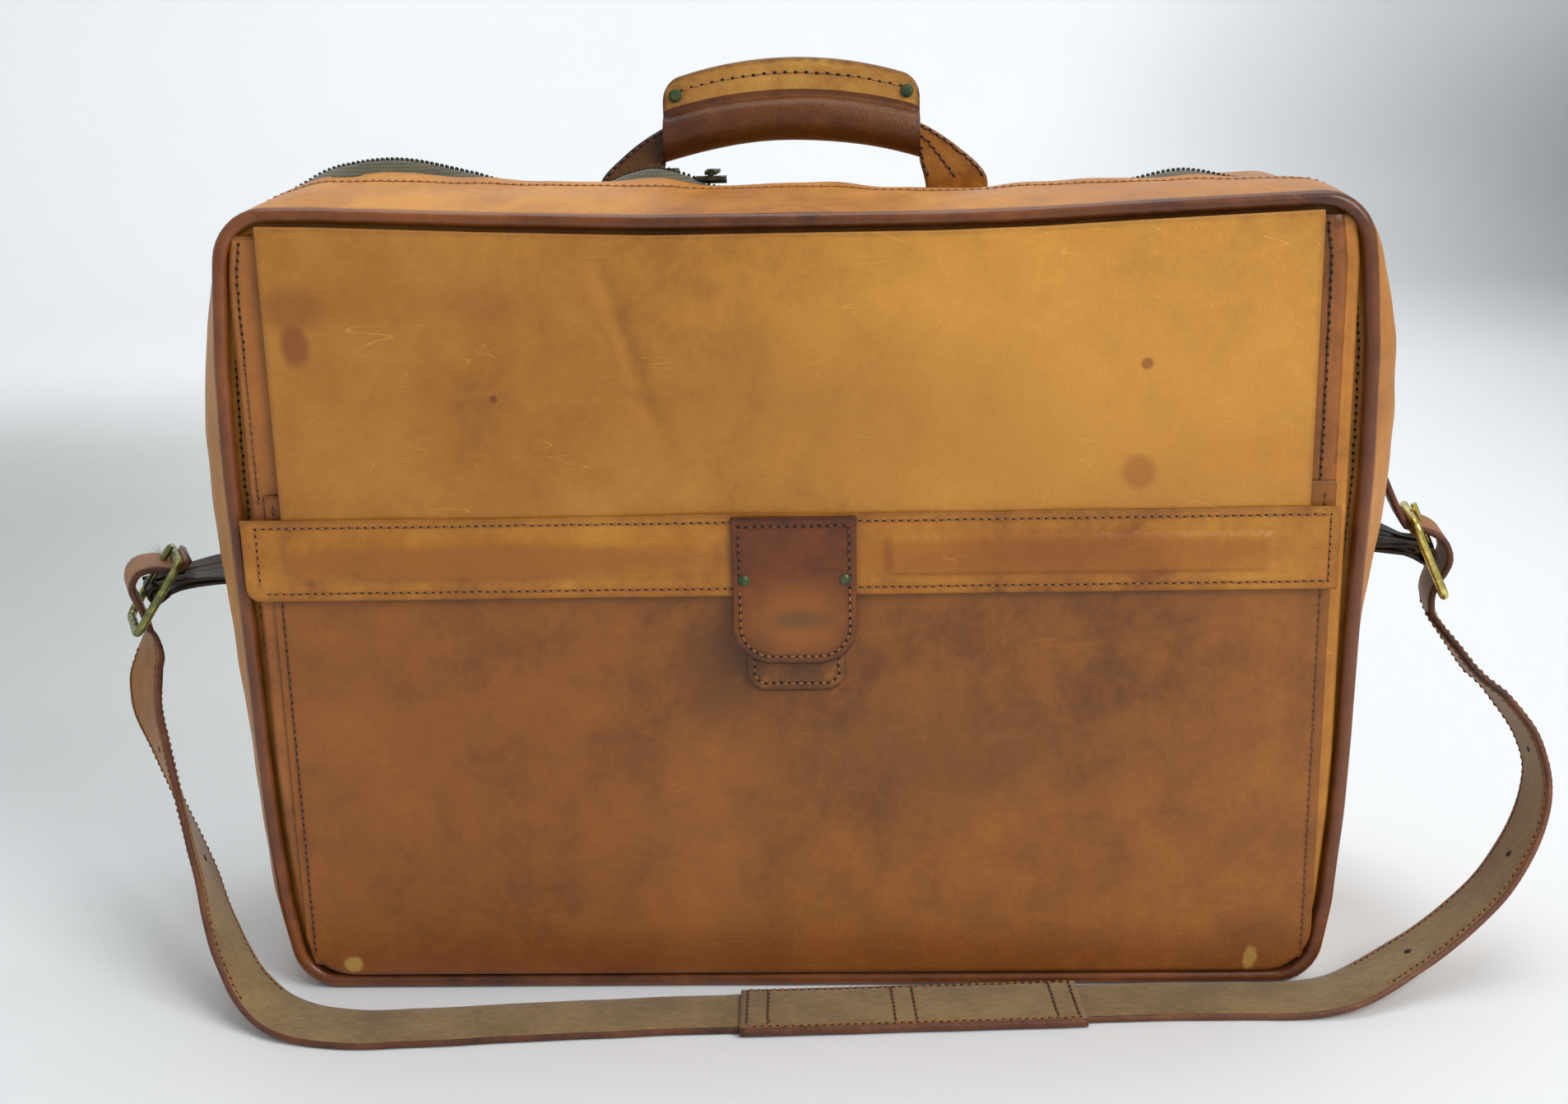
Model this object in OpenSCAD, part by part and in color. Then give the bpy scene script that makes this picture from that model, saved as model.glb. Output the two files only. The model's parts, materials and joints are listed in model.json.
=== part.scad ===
// Soft leather attache satchel: zip-around case in two shells, flap pocket with a snap
// tab, padded carry handle, and a shoulder strap buckled to a leather tab on each side.
// Millimetres, +Z up, +X to the right, front towards -Y. The origin is the centre of
// the underside. Zip, pocket and strap are drawn closed, with the strap on the ground.

/* [Body] */
// Width of the case at its corners
body_w = 460; // [420:1:480]
// Height of the case at its corners
body_h = 344.5; // [330:0.5:350]
// Radius of the corners
corner_r = 20; // [14:1:28]
// Share of the side edges' bow, 1 for the worn case and 0 for straight sides
side_bow = 1; // [0:0.1:1.2]
// How far the top edge sags in the middle
top_sag = 7.2; // [0:0.1:8]
// Thickness of the case leather
leather_t = 2; // [1.6:0.1:2.2]
// Radius of the welt piping around front and back
piping_r = 3.1; // [2.8:0.1:3.4]

/* [Front pocket] */
// Left edge of the pocket panel
pocket_left = -220; // [-221:1:-190]
// Right edge of the pocket panel
pocket_right = 221; // [190:1:222]
// Height of the pocket mouth above the ground
pocket_top = 226; // [210:1:240]
// Height of the top edge of the band across the flap
band_top = 216; // [205:1:220]
// Height of the band
band_h = 34; // [28:1:36]
// Width of the closure tab
tab_w = 51.4; // [44:0.2:56]
// Lowest point of the closure tab
tab_bottom = 153; // [148:1:158]

/* [Handle] */
// Length of the grip
grip_l = 112; // [90:1:116]
// Radius of the rolled grip
grip_r = 9.8; // [8:0.1:10]
// Height of the stitched fin above the roll's centre
fin_h = 22.8; // [18:0.2:24]

/* [Shoulder strap] */
// Width of the strap
strap_w = 30; // [24:1:32]
// Thickness of the strap
strap_t = 3; // [2.4:0.1:3.2]
// Width of the shoulder pad section
pad_w = 36; // [32:1:44]
// Wire radius of the buckles
buckle_wire = 2; // [1.6:0.1:2.2]

/* [Hidden] */
$fn = 48;
clear = 0.3;
half_w = body_w / 2;
split_z = 45;
side_steps = 14;
lower_r = 18;
seam_y = 63.2;
piping_y = 66.5;
piping_inset = piping_r + 0.05;
panel_inset = 2 * piping_r + 0.15;
zip_y = -10;
tooth_gap = 0.4;
tooth_w = 2;
tooth_t = 2.4;
tape_t = 1;
front_edge_y = -20;
rear_edge_y = 0;
front_face_y = -63;
// How far the side edges stand out from a straight line, by height
side_outline = [[0, -6], [12, -4.5], [40, 0], [80, 2.5], [115, 3.5], [190, 4], [230, 5],
    [280, 4.5], [318, 2.5], [344, 0]];
// Share of the gusset's side bulge that is left, by height: it is slacker low on the right
left_swell = [[0, 0.5], [40, 0.7], [115, 0.65], [155, 0.85], [215, 1], [250, 0.9],
    [280, 0.65], [318, 0.3], [335, 0.1], [346, 0.05]];
right_swell = [[0, 0.1], [40, 0.1], [80, 0.2], [155, 0.25], [190, 0.5], [215, 0.8],
    [250, 0.9], [280, 0.85], [318, 0.45], [335, 0.15], [346, 0.05]];
// Share of the top's sag, and of the gusset's rise above the piping, from left to right
sag_share = [[-230, 0], [-188, 0.17], [-122, 0.61], [-55, 0.96], [60, 1], [100, 0.88],
    [145, 0.62], [211, 0.28], [230, 0.17]];
top_swell = [[-230, 0.1], [-215, 0.4], [-195, 1.1], [-55, 1.2], [11, 0.95], [78, 0.72],
    [145, 0.7], [190, 0.5], [211, 0.25], [230, 0.1]];
// Bulge of the gusset beyond the piping at the sides, by depth
side_profile = [[-70, 0], [-63, 4], [-50, 12], [-38, 16], [-20, 17], [0, 17], [25, 16],
    [45, 12], [63, 4], [70, 0]];
// Rise of the gusset above the piping at the top, by depth
top_profile = [[-70, 0], [-63, 1], [-50, 6], [-36, 8.5], [-20, 9], [-8, 8.5], [2, 4],
    [20, -2], [45, -2], [63, 0], [70, 0]];
// Layers of the front, from the case outwards
pocket_in_y = -68.2;
pocket_out_y = -70;
// Folded sides of the pocket
fold_x = 227;
fold_t = 1.7;
fold_top = 331;
flap_in_y = pocket_out_y - clear;
flap_out_y = -72;
band_out_y = -74;
tab_in_y = band_out_y - 0.05;
tab_out_y = -75.8;
tongue_in_y = tab_in_y - 0.25;
flap_left = -213;
flap_right = 210.5;
flap_top = 337;
band_left = -230;
band_right = 222.5;
band_bottom = band_top - band_h;
tab_hinge_z = 186;
tab_corner_r = 16;
base_w = 41;
base_top = 176;
base_bottom = 140;
base_t = 1.8;
stud_z = 166;
rivet_x = 21;
rivet_z = 189;
// Carry handle
handle_y = 20;
grip_centre_z = 372.5;
grip_arc_r = 191;
grip_half_angle = asin(grip_l / 2 / (grip_arc_r - grip_r)) + 0.5;
grip_rivet_x = grip_l / 2 - 5.6;
grip_axis_z = grip_centre_z - grip_arc_r;
handle_strap_t = 5;
strap_foot_z = 342;
strap_foot_in = 59.5;
strap_foot_out = 84;
plate_top = 331;
// Buckles: centre, tilt of the frame from upright, turn about the vertical
left_centre = [-303, 12, 163.6];
left_tilt = 34.5;
left_turn = 25;
right_centre = [284, 12, 174.7];
right_tilt = 24;
right_turn = -8;
buckle_u = 19;
buckle_half = 18.5;
buckle_corner = 5;
tab_strap_w = 24;
tab_t = 1.9;
patch_t = 1.8;
patch_gap = 0.2;
prong_slot = 4.8;
chape_r = buckle_wire + 1.4;
// Run of the strap through each buckle: along the frame, out of the frame
left_weave = [[-42, -4.5], [-32, -4.5], [-20, -4.1], [-17, -3.6], [-14, 0.5], [-11, 7],
    [-5, 12.5], [3, 11], [8, 4], [13, -2], [18, -7.5], [25, -14]];
right_weave = [[-42, -4.5], [-32, -4.5], [-20, -4.1], [-17, -3.6], [-14, 0.5], [-10, 5.5],
    [-4, 9], [4, 8.5], [9, 4.5], [13.5, -1.5], [20, -6], [31, -7.5]];
// Rest of the strap: x, y, z of its centre line and the turn of its width, in degrees
left_run = [[-306.5, -1, 124.5, 42], [-303, -10, 112.5, 41], [-294.5, -21, 96.4, 34],
    [-284, -34, 78.1, 26], [-274.5, -46, 63, 19], [-266.5, -57, 50.5, 13],
    [-258, -70, 35.5, 7], [-249.5, -81, 23, 3],
    [-240, -89, 12, 0], [-228, -97, 5, 0], [-212, -104, 2.2, 0], [-190, -108, 1.7, 0],
    [-165, -107, 1.7, 0], [-135, -104, 1.7, 0], [-100, -101, 1.7, 0], [-65, -98, 1.7, 0],
    [-27, -96, 1.7, 0]];
pad_run = [[-26.6, -96, 2.2, 0], [5, -95, 2.2, 0], [45, -93, 2.2, 0], [85, -91, 2.2, 0],
    [119.6, -89, 2.2, 0]];
right_run = [[120, -89, 1.7, 0], [150, -87, 1.7, 0], [184, -86.5, 1.7, 0],
    [206, -87, 1.9, 0], [222, -86.5, 3, 0], [234, -84, 5, 0], [246, -78, 8, 0],
    [258, -72, 12, 0], [272, -66, 18, 0],
    [287, -60, 27, 0], [301, -54, 38, 0], [312, -48, 50, 0], [320, -42, 62, 0],
    [325, -36, 75, 0], [326, -30, 88, 0], [322, -24, 101, 6], [312, -17, 115, 8],
    [300, -9, 127, 2]];

// ---- Curves ----
function arc(cx, cz, r, a0, a1, n) =
    [for (i = [0 : n]) let (a = a0 + (a1 - a0) * i / n) [cx + r * cos(a), cz + r * sin(a)]];

// Path up the right side from z0, over the top and down the left side, inset by g
function arch(g, z0) = let (x = half_w - corner_r, z = body_h - corner_r) concat(
    [for (i = [0 : side_steps - 1]) [half_w - g, z0 + (z - z0) * i / side_steps]],
    arc(x, z, corner_r - g, 0, 90, 5),
    [for (i = [1 : 15]) [x * (1 - i / 8), body_h - g]],
    arc(-x, z, corner_r - g, 90, 180, 5),
    [for (i = [side_steps - 1 : -1 : 0]) [g - half_w, z0 + (z - z0) * i / side_steps]]);

// Path down the left side from the split, along the ground and up the right side
function sill(g) = let (x = half_w - lower_r) concat(
    [[g - half_w, split_z]],
    arc(-x, lower_r, lower_r - g, 180, 270, 5),
    [for (i = [1 : 7]) [x * (i / 4 - 1), g]],
    arc(x, lower_r, lower_r - g, 270, 360, 5),
    [[half_w - g, split_z]]);

function ring_path(g) = let (s = sill(g)) concat(arch(g, split_z), [for (i = [1 : len(s) - 2]) s[i]]);

// A point of a path, bowed, sagged and puffed as the soft case is at depth y
function shaped(p, y) = let (
    bow = side_bow * lookup(p[1], side_outline),
    swell = lookup(y, side_profile) * lookup(p[1], p[0] < 0 ? left_swell : right_swell),
    rise = lookup(y, top_profile) * lookup(p[0], top_swell),
    sag = top_sag * lookup(p[0], sag_share))
    [p[0] * (1 + (bow + swell) / half_w), y, p[1] * (1 + (rise - sag) / body_h)];

// Point at height z on the rear gusset's side, set out by g; it lies on the drawn facet
function on_side(s, z, y, g) = let (
    z0 = split_z + 0.3,
    rise = (body_h - corner_r - z0) / side_steps,
    i = floor((z - z0) / rise),
    a = shaped([s * (half_w + g), z0 + rise * i], y),
    b = shaped([s * (half_w + g), z0 + rise * (i + 1)], y))
    a + (b - a) * ((z - z0) / rise - i);

function flat(list) = [for (a = list) for (b = a) b];

// ---- Builders ----
// Closed skin through rings of points; each ring turns anticlockwise about the run.
// The two faces of a strip are split along the same diagonals, so that layers nest.
module sweep(rings, loop = false) {
    n = len(rings[0]);
    m = len(rings);
    sides = [for (i = [0 : loop ? m - 1 : m - 2], j = [0 : n - 1]) let (
        a = i * n + j,
        b = i * n + (j + 1) % n,
        c = ((i + 1) % m) * n + (j + 1) % n,
        d = ((i + 1) % m) * n + j) each (j < n / 2 ? [[c, b, a], [d, c, a]] : [[d, c, b], [d, b, a]])];
    first = [for (k = [0 : n / 2 - 2]) each [[k, k + 1, n - 2 - k], [k, n - 2 - k, n - 1 - k]]];
    last = [for (f = first) [for (q = [2, 1, 0]) f[q] + (m - 1) * n]];
    polyhedron(flat(rings), loop ? sides : concat(sides, first, last), convexity = 8);
}

// Strip of leather t thick along a path, inset by g, with an edge at each listed depth
module strip(outer, inner, depths) {
    sweep([for (j = [0 : len(outer) - 1]) concat(
        [for (y = depths) shaped(outer[j], y)],
        [for (i = [len(depths) - 1 : -1 : 0]) shaped(inner[j], depths[i])])]);
}

module arch_strip(z0, depths, g, t) {
    strip(arch(g, z0), arch(g + t, z0), depths);
}

// Flat panel between two depths, inset by g from the outline
module panel(y0, y1, g) {
    outline = [for (p = ring_path(g)) let (q = shaped(p, (y0 + y1) / 2)) [q[0], q[2]]];
    translate([0, y1, 0]) rotate([90, 0, 0]) linear_extrude(y1 - y0) polygon(outline);
}

// Welt around the outline at depth y
module welt(y) {
    path = [for (p = ring_path(piping_inset)) shaped(p, y)];
    m = len(path);
    sweep([for (i = [0 : m - 1]) let (
        d = path[(i + 1) % m] - path[(i + m - 1) % m],
        t = d / norm(d),
        w = [0, 1, 0],
        v = cross(t, w))
        [for (k = [0 : 7]) path[i] + piping_r * (w * cos(45 * k) + v * sin(45 * k))]], loop = true);
}

// Shape drawn in front view, between two depths
module front_slab(y0, y1) {
    translate([0, y1, 0]) rotate([90, 0, 0]) linear_extrude(y1 - y0) children();
}

// Front-view rectangle from corner to corner
module box2d(x0, x1, z0, z1) {
    translate([x0, z0]) square([x1 - x0, z1 - z0]);
}

// Front-view rectangle with rounded lower corners
module tongue2d(w, z0, z1, r) {
    box2d(-w / 2, w / 2, z0 + r, z1);
    box2d(-w / 2 + r, w / 2 - r, z0, z1);
    for (s = [-1, 1]) translate([s * (w / 2 - r), z0 + r]) circle(r);
}

// Cylinder along Y from depth y0 to y1
module pin_y(x, z, r, y0, y1) {
    translate([x, y1, z]) rotate([90, 0, 0]) cylinder(r = r, h = y1 - y0);
}

// ---- Straps ----
// Flat ring of a strap: centre c, width w along unit wd, thickness t along unit nd
function strap_ring(c, wd, nd, w, t) = let (a = w / 2, b = t / 2, e = 0.3 * t)
    [for (q = [[a, -b + e], [a, b - e], [a - e, b], [-a + e, b], [-a, b - e], [-a, -b + e],
        [-a + e, -b], [a - e, -b]]) c + wd * q[0] + nd * q[1]];

function unit(v) = v / norm(v);

// Rings of a strap along points [x, y, z, turn]
function strap_rings(run, w, t) = let (m = len(run)) [for (i = [0 : m - 1]) let (
    a = run[max(i - 1, 0)],
    b = run[min(i + 1, m - 1)],
    d = unit([b[0] - a[0], b[1] - a[1], b[2] - a[2]]),
    w0 = [-sin(run[i][3]), cos(run[i][3]), 0],
    wd = unit(w0 - d * (w0 * d)),
    nd = cross(d, wd))
    strap_ring([run[i][0], run[i][1], run[i][2]], wd, nd, w, t)];

// Point of a buckle's frame: u down the strap, n out of the frame, on side s
function weave_point(q, centre, tilt, turn, s) = let (
    h = s * (q[0] * sin(tilt) + q[1] * cos(tilt)),
    v = -q[0] * cos(tilt) + q[1] * sin(tilt))
    [centre[0] + h * cos(turn), centre[1] + h * sin(turn), centre[2] + v, turn];

function weave(list, centre, tilt, turn, s) = [for (q = list) weave_point(q, centre, tilt, turn, s)];
function backwards(list) = [for (i = [len(list) - 1 : -1 : 0]) list[i]];

// Centre-bar buckle lying in its own frame: X out, Y across, Z up
module buckle() {
    for (z = [-buckle_u, 0, buckle_u])
        translate([0, -buckle_half + (z == 0 ? 0 : buckle_corner), z]) rotate([-90, 0, 0])
            cylinder(r = buckle_wire, h = 2 * buckle_half - (z == 0 ? 0 : 2 * buckle_corner));
    for (y = [-1, 1]) {
        translate([0, y * buckle_half, -buckle_u + buckle_corner])
            cylinder(r = buckle_wire, h = 2 * (buckle_u - buckle_corner));
        for (z = [-1, 1])
            translate([0, y * (buckle_half - buckle_corner), z * (buckle_u - buckle_corner)])
                rotate([0, 90, 0]) rotate([0, 0, y > 0 ? (z > 0 ? 90 : 0) : (z > 0 ? 180 : -90)])
                    rotate_extrude(angle = 90) translate([buckle_corner, 0]) circle(buckle_wire);
    }
}

// Places a part of one side's buckle
module at_buckle(centre, tilt, turn, s) {
    translate(centre) rotate([0, 0, turn]) rotate([0, -s * tilt, 0]) children();
}

// Prong from the centre bar over the upper end bar, on the outer side s
module prong(s) {
    rise = 1.5 * buckle_wire + 0.4;
    translate([s * rise, 0, 0]) cylinder(r = 1.4, h = buckle_u + 3);
    translate([s * rise, 0, 0]) sphere(1.4);
    translate([0, -1.8, 0]) rotate([-90, 0, 0]) difference() {
        cylinder(r = buckle_wire + 1.6, h = 3.6);
        translate([0, 0, -1]) cylinder(r = buckle_wire + 0.05, h = 6);
    }
}

// Doubled leather loop from the gusset to the centre bar
module side_tab(centre, turn, s, root_z) {
    root = [shaped([s * half_w, root_z], 18)[0] + s * 4.6, 18];
    reach = [centre[0] - root[0], centre[2] - root_z];
    along = unit(reach);
    side = [-along[1], along[0]];
    heading = atan2(along[1], along[0]);
    bar = [centre[0], centre[2]];
    start = [root[0], root_z];
    half = [bar[0] - 14 * along[0], bar[1] - 14 * along[1]];
    loop = concat(
        [start - side * 2.2, half - side * 3],
        [for (k = [0 : 6]) let (a = heading - 90 + 30 * k) bar + chape_r * [cos(a), sin(a)]],
        [half + side * 3, start + side * 2.2]);
    m = len(loop);
    run = [for (i = [0 : m - 1]) let (
        f = min(1, norm(loop[i] - start) / norm(reach)),
        dx = loop[i][0] - bar[0])
        [bar[0] + dx * cos(turn * f), centre[1] + dx * sin(turn * f) + (root[1] - centre[1]) * (1 - f),
         loop[i][1], turn * f]];
    // Two strips with the prong's slot between them, closed up by a web in each leaf
    strip_w = (tab_strap_w - prong_slot) / 2;
    for (e = [-1, 1])
        sweep(strap_rings([for (r = run) r + e * (strip_w + prong_slot) / 2 * [-sin(r[3]), cos(r[3]), 0, 0]],
            strip_w, tab_t));
    for (leaf = [[run[0], run[1]], [run[m - 2], run[m - 1]]])
        sweep(strap_rings(leaf, prong_slot + 1.6, tab_t - 0.3));
}

// ---- Zip parts ----
// Slider with its crown, drawn at the chain's top; the open side faces the front
module slider(x, z) {
    translate([x, zip_y, z]) {
        translate([-6.5, -4.2, 0.6]) cube([13, 9.2, 1.4]);
        translate([-6.5, 3.4, -1.2]) cube([13, 1.6, 3.2]);
        difference() {
            translate([-1.2, -2.6, 2]) cube([2.4, 5.2, 3]);
            translate([-3, 0, 3.4]) rotate([0, 90, 0]) cylinder(r = 0.9, h = 6);
        }
    }
}

// Pull tab hinged in the crown, lying towards the rear
module pull(x, z) {
    translate([x, zip_y, z + 3.4]) {
        translate([-2.6, 0, 0]) rotate([0, 90, 0]) cylinder(r = 0.84, h = 5.2);
        for (e = [-2.6, 1.5])
            translate([e, 0, -0.6]) cube([1.1, 8, 1.2]);
        translate([-3, 6, -0.6]) cube([6, 13, 1.2]);
        translate([0, 19, -0.6]) cylinder(r = 3, h = 1.2);
    }
}

// Height at which a slider rides on the chain at x
function chain_top(x) = shaped([x, body_h], zip_y)[2] + 0.4;
left_slider_x = -52;
right_slider_x = -34;

// ---- Rear shell ----
// Slots in the top where the handle's ends pass through
module strap_slots() {
    for (s = [-1, 1])
        translate([s > 0 ? strap_foot_in - 1 : -strap_foot_out - 1, handle_y - 3, plate_top])
            cube([strap_foot_out - strap_foot_in + 2, 6, 12]);
}
module rear_gusset() {
    color("peru") difference() {
        arch_strip(split_z + 0.3, [rear_edge_y, 10, 20, 33, 45, 55, seam_y], 0, leather_t);
        strap_slots();
    }
}
module bottom_gusset() {
    color("peru") strip(sill(0), sill(leather_t),
        [clear - seam_y + 0.1, -55, -45, -30, -10, 10, 30, 45, 55, seam_y]);
}
module back_panel() { color("chocolate") panel(64, 66, panel_inset + 1.1); }
module rear_piping() { color("saddlebrown") welt(piping_y); }
module back_board() { color("burlywood") panel(62.2, 63.9, 9); }
module bottom_board() {
    color("burlywood") translate([-210, -56, leather_t + 0.3]) cube([420, 112, 2]);
}
module rear_lining() { color("tan") panel(61.2, 62.1, 9); }
module rear_gusset_lining() {
    color("tan") difference() {
        arch_strip(split_z + 0.5, [3, 10, 20, 33, 45, 55, 60.8], leather_t + 0.2, 0.8);
        strap_slots();
    }
}
module rear_zip_tape() {
    color("darkolivegreen")
        arch_strip(split_z, [zip_y + tooth_gap / 2 + tooth_w, -3.9, rear_edge_y - 0.05], 0.8, tape_t);
}
module rear_zip_teeth() {
    color("black")
        arch_strip(split_z, [zip_y + tooth_gap / 2, zip_y + tooth_gap / 2 + tooth_w - 0.02],
            0, tooth_t);
}
module handle_plate() {
    color("burlywood") translate([-95, handle_y - 13, plate_top - 2]) cube([190, 26, 2]);
}
module strap_root(s) {
    x0 = s > 0 ? strap_foot_in : -strap_foot_out;
    translate([x0, handle_y - handle_strap_t / 2, plate_top])
        cube([strap_foot_out - strap_foot_in, handle_strap_t, strap_foot_z - plate_top - 0.05]);
}
module left_strap_root() { color("sienna") strap_root(-1); }
module right_strap_root() { color("sienna") strap_root(1); }
module left_side_tab() { color("maroon") side_tab(left_centre, left_turn, -1, 179); }
module right_side_tab() { color("maroon") side_tab(right_centre, right_turn, 1, 183); }
// Leather patch that holds the side tab on the gusset
module tab_patch(s, z) {
    // The path climbs on the right and comes down on the left, as the gusset's does
    rise = (body_h - corner_r - split_z - 0.3) / side_steps;
    knots = [for (i = [0 : side_steps]) split_z + 0.3 + rise * i];
    climb = [z - 19, for (k = knots) if (abs(k - z) < 18) k, z + 19];
    heights = s > 0 ? climb : backwards(climb);
    depths = [4, 10, 20, 32];
    sweep([for (h = heights) concat(
        [for (y = depths) on_side(s, h, y, patch_t + patch_gap)],
        [for (i = [3 : -1 : 0]) on_side(s, h, depths[i], patch_gap)])]);
}
module left_tab_patch() { color("sienna") tab_patch(-1, 179); }
module right_tab_patch() { color("sienna") tab_patch(1, 183); }
module tab_patch_rivets() {
    color("darkgoldenrod") for (s = [-1, 1], dz = [-14.5, 14.5]) {
        z = (s > 0 ? 183 : 179) + dz;
        translate([on_side(s, z, 18, patch_t + patch_gap)[0] - s * 0.6, 18, z]) rotate([0, s * 90, 0])
            cylinder(r1 = 3.2, r2 = 2.2, h = 1.8);
    }
}

// ---- Front shell ----
module front_gusset() {
    color("goldenrod")
        arch_strip(split_z + 0.5, [-seam_y, -55, -50, -44, -38, -29, front_edge_y], 0, leather_t);
}
module front_panel() { color("goldenrod") panel(front_face_y, -61.2, leather_t + 0.8); }
module front_piping() { color("saddlebrown") welt(-piping_y); }
module front_board() { color("burlywood") panel(-61.1, -59.5, 6); }
module front_lining() { color("tan") panel(-59.4, -58.6, 6); }
module front_gusset_lining() {
    color("tan") arch_strip(split_z + 0.5, [-57, -50, -44, -38, -29, -23], leather_t + 0.2, 0.8);
}
module front_zip_tape() {
    color("darkolivegreen")
        arch_strip(split_z + 0.5, [front_edge_y + 0.05, -16, zip_y - tooth_gap / 2 - tooth_w],
            0.8, tape_t);
}
module front_zip_teeth() {
    color("black")
        arch_strip(split_z + 0.5,
            [zip_y - tooth_gap / 2 - tooth_w + 0.02, zip_y - tooth_gap / 2], 0, tooth_t);
}
module pocket_panel() {
    color("chocolate") front_slab(pocket_out_y, pocket_in_y)
        translate([(pocket_left + pocket_right) / 2, 0])
            tongue2d(pocket_right - pocket_left, 7.5, pocket_top, 20);
}
// Folded side of the pocket: a web standing on the case and a flange under the panel
module pocket_side(s) {
    x0 = s > 0 ? 206 : -fold_x;
    web = s > 0 ? fold_x - fold_t : -fold_x;
    intersection() {
        union() {
            front_slab(pocket_in_y + 0.1, pocket_in_y + 1.3) box2d(x0, x0 + fold_x - 206, 8, fold_top);
            front_slab(pocket_in_y + 0.1, front_face_y - 0.1) box2d(web, web + fold_t, 8, fold_top);
        }
        panel(-69, -62, panel_inset + 0.8);
    }
}
module left_pocket_side() { color("sienna") pocket_side(-1); }
module right_pocket_side() { color("sienna") pocket_side(1); }
module closure_base() {
    color("sienna") front_slab(pocket_out_y - base_t, pocket_out_y - 0.05)
        tongue2d(base_w, base_bottom, base_top, 8);
}
module snap_stud() {
    color("darkgoldenrod") {
        pin_y(0, stud_z, 3.6, pocket_out_y - base_t - 0.6, pocket_out_y - base_t - 0.02);
        pin_y(0, stud_z, 1.9, pocket_out_y - base_t - 1.6, pocket_out_y - base_t - 0.3);
    }
}

// ---- Flap ----
module front_flap() {
    // The upper edge follows the sagging top of the case
    edge = [for (i = [0 : 12]) let (x = flap_right + (flap_left - flap_right) * i / 12)
        [x, flap_top - top_sag * lookup(x, sag_share)]];
    color("goldenrod") front_slab(flap_out_y, flap_in_y)
        polygon(concat([[flap_left, band_bottom + 1], [flap_right, band_bottom + 1]], edge));
}
module stiffener2d(x0, x1, grow) {
    box2d(x0 - grow, x1 + grow, 190.5 - grow, 206 + grow);
}
module flap_band() {
    color("sandybrown") difference() {
        front_slab(band_out_y, flap_out_y - 0.05)
            box2d(band_left, band_right, band_bottom, band_top);
        front_slab(flap_out_y - 1.2, flap_out_y + 1) stiffener2d(39, 195, 0.1);
        front_slab(flap_out_y - 1.2, flap_out_y + 1) stiffener2d(-212, -39, 0.1);
    }
}
module left_stiffener() {
    color("burlywood") front_slab(flap_out_y - 1.15, flap_out_y - 0.05) stiffener2d(-212, -39, 0);
}
module right_stiffener() {
    color("burlywood") front_slab(flap_out_y - 1.15, flap_out_y - 0.05) stiffener2d(39, 195, 0);
}
module closure_tab() {
    color("maroon") front_slab(tab_out_y, tab_in_y)
        box2d(-tab_w / 2, tab_w / 2, tab_hinge_z, band_top - 1);
}
module closure_rivets() {
    color("darkgoldenrod") for (s = [-1, 1]) {
        pin_y(s * rivet_x, rivet_z, 2.2, tab_out_y - 0.8, tab_out_y - 0.02);
        pin_y(s * rivet_x, rivet_z, 1, tab_out_y - 0.4, flap_in_y);
    }
}
module closure_tongue() {
    color("sienna") front_slab(tab_out_y, tongue_in_y)
        tongue2d(tab_w, tab_bottom, tab_hinge_z - clear, tab_corner_r);
}
module snap_socket() {
    color("darkgoldenrod") difference() {
        pin_y(0, stud_z, 5, tongue_in_y + 0.02, tongue_in_y + 1.5);
        pin_y(0, stud_z, 2.3, tongue_in_y + 0.6, tongue_in_y + 2);
    }
}

// ---- Carry handle ----
// Run of a section along the grip's arch, cut upright at x = -half_l and x = half_l
module grip_arch(half_l) {
    intersection() {
        translate([0, handle_y, grip_axis_z]) rotate([90, 0, 0]) rotate([0, 0, 90 - grip_half_angle])
            rotate_extrude(angle = 2 * grip_half_angle) translate([grip_arc_r, 0]) children();
        translate([-half_l, handle_y - 20, grip_axis_z]) cube([2 * half_l, 40, 2 * grip_arc_r]);
    }
}
module grip_wrap() {
    color("saddlebrown") grip_arch(grip_l / 2) difference() {
        union() {
            circle(grip_r);
            translate([0, -2.6]) square([fin_h, 5.2]);
        }
        circle(grip_r - 1.8);
    }
}
module grip_core() {
    color("burlywood") grip_arch(grip_l / 2 - 0.6) difference() {
        circle(grip_r - 1.9);
        translate([-grip_r, -handle_strap_t / 2 - 0.1]) square([2 * grip_r, handle_strap_t + 0.2]);
    }
}
// Flared end of the handle, flat faces to front and rear
module handle_strap(s) {
    front_slab(handle_y - handle_strap_t / 2, handle_y + handle_strap_t / 2)
        polygon([for (p = [[49, 369.5], [58, 367], [72, 358], [strap_foot_out, 347],
            [strap_foot_out, strap_foot_z], [strap_foot_in, strap_foot_z], [57, 352], [56.5, 358.2],
            [49, 360.2]])
            [s * p[0], p[1]]]);
}
module left_handle_strap() { color("sienna") handle_strap(-1); }
module right_handle_strap() { color("sienna") handle_strap(1); }
module grip_rivets() {
    color("darkolivegreen") for (s = [-1, 1]) {
        z = grip_axis_z + sqrt(pow(grip_arc_r + 14.5, 2) - pow(grip_rivet_x, 2));
        pin_y(s * grip_rivet_x, z, 2.6, handle_y - 4, handle_y - 2.62);
        pin_y(s * grip_rivet_x, z, 1.1, handle_y - 3, handle_y + 3);
        pin_y(s * grip_rivet_x, z, 2.6, handle_y + 2.62, handle_y + 4);
    }
}

// ---- Sliders ----
module left_slider() { color("dimgray") slider(left_slider_x, chain_top(left_slider_x)); }
module right_slider() { color("dimgray") slider(right_slider_x, chain_top(right_slider_x)); }
module left_pull() { color("gray") pull(left_slider_x, chain_top(left_slider_x)); }
module right_pull() { color("gray") pull(right_slider_x, chain_top(right_slider_x)); }

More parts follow.
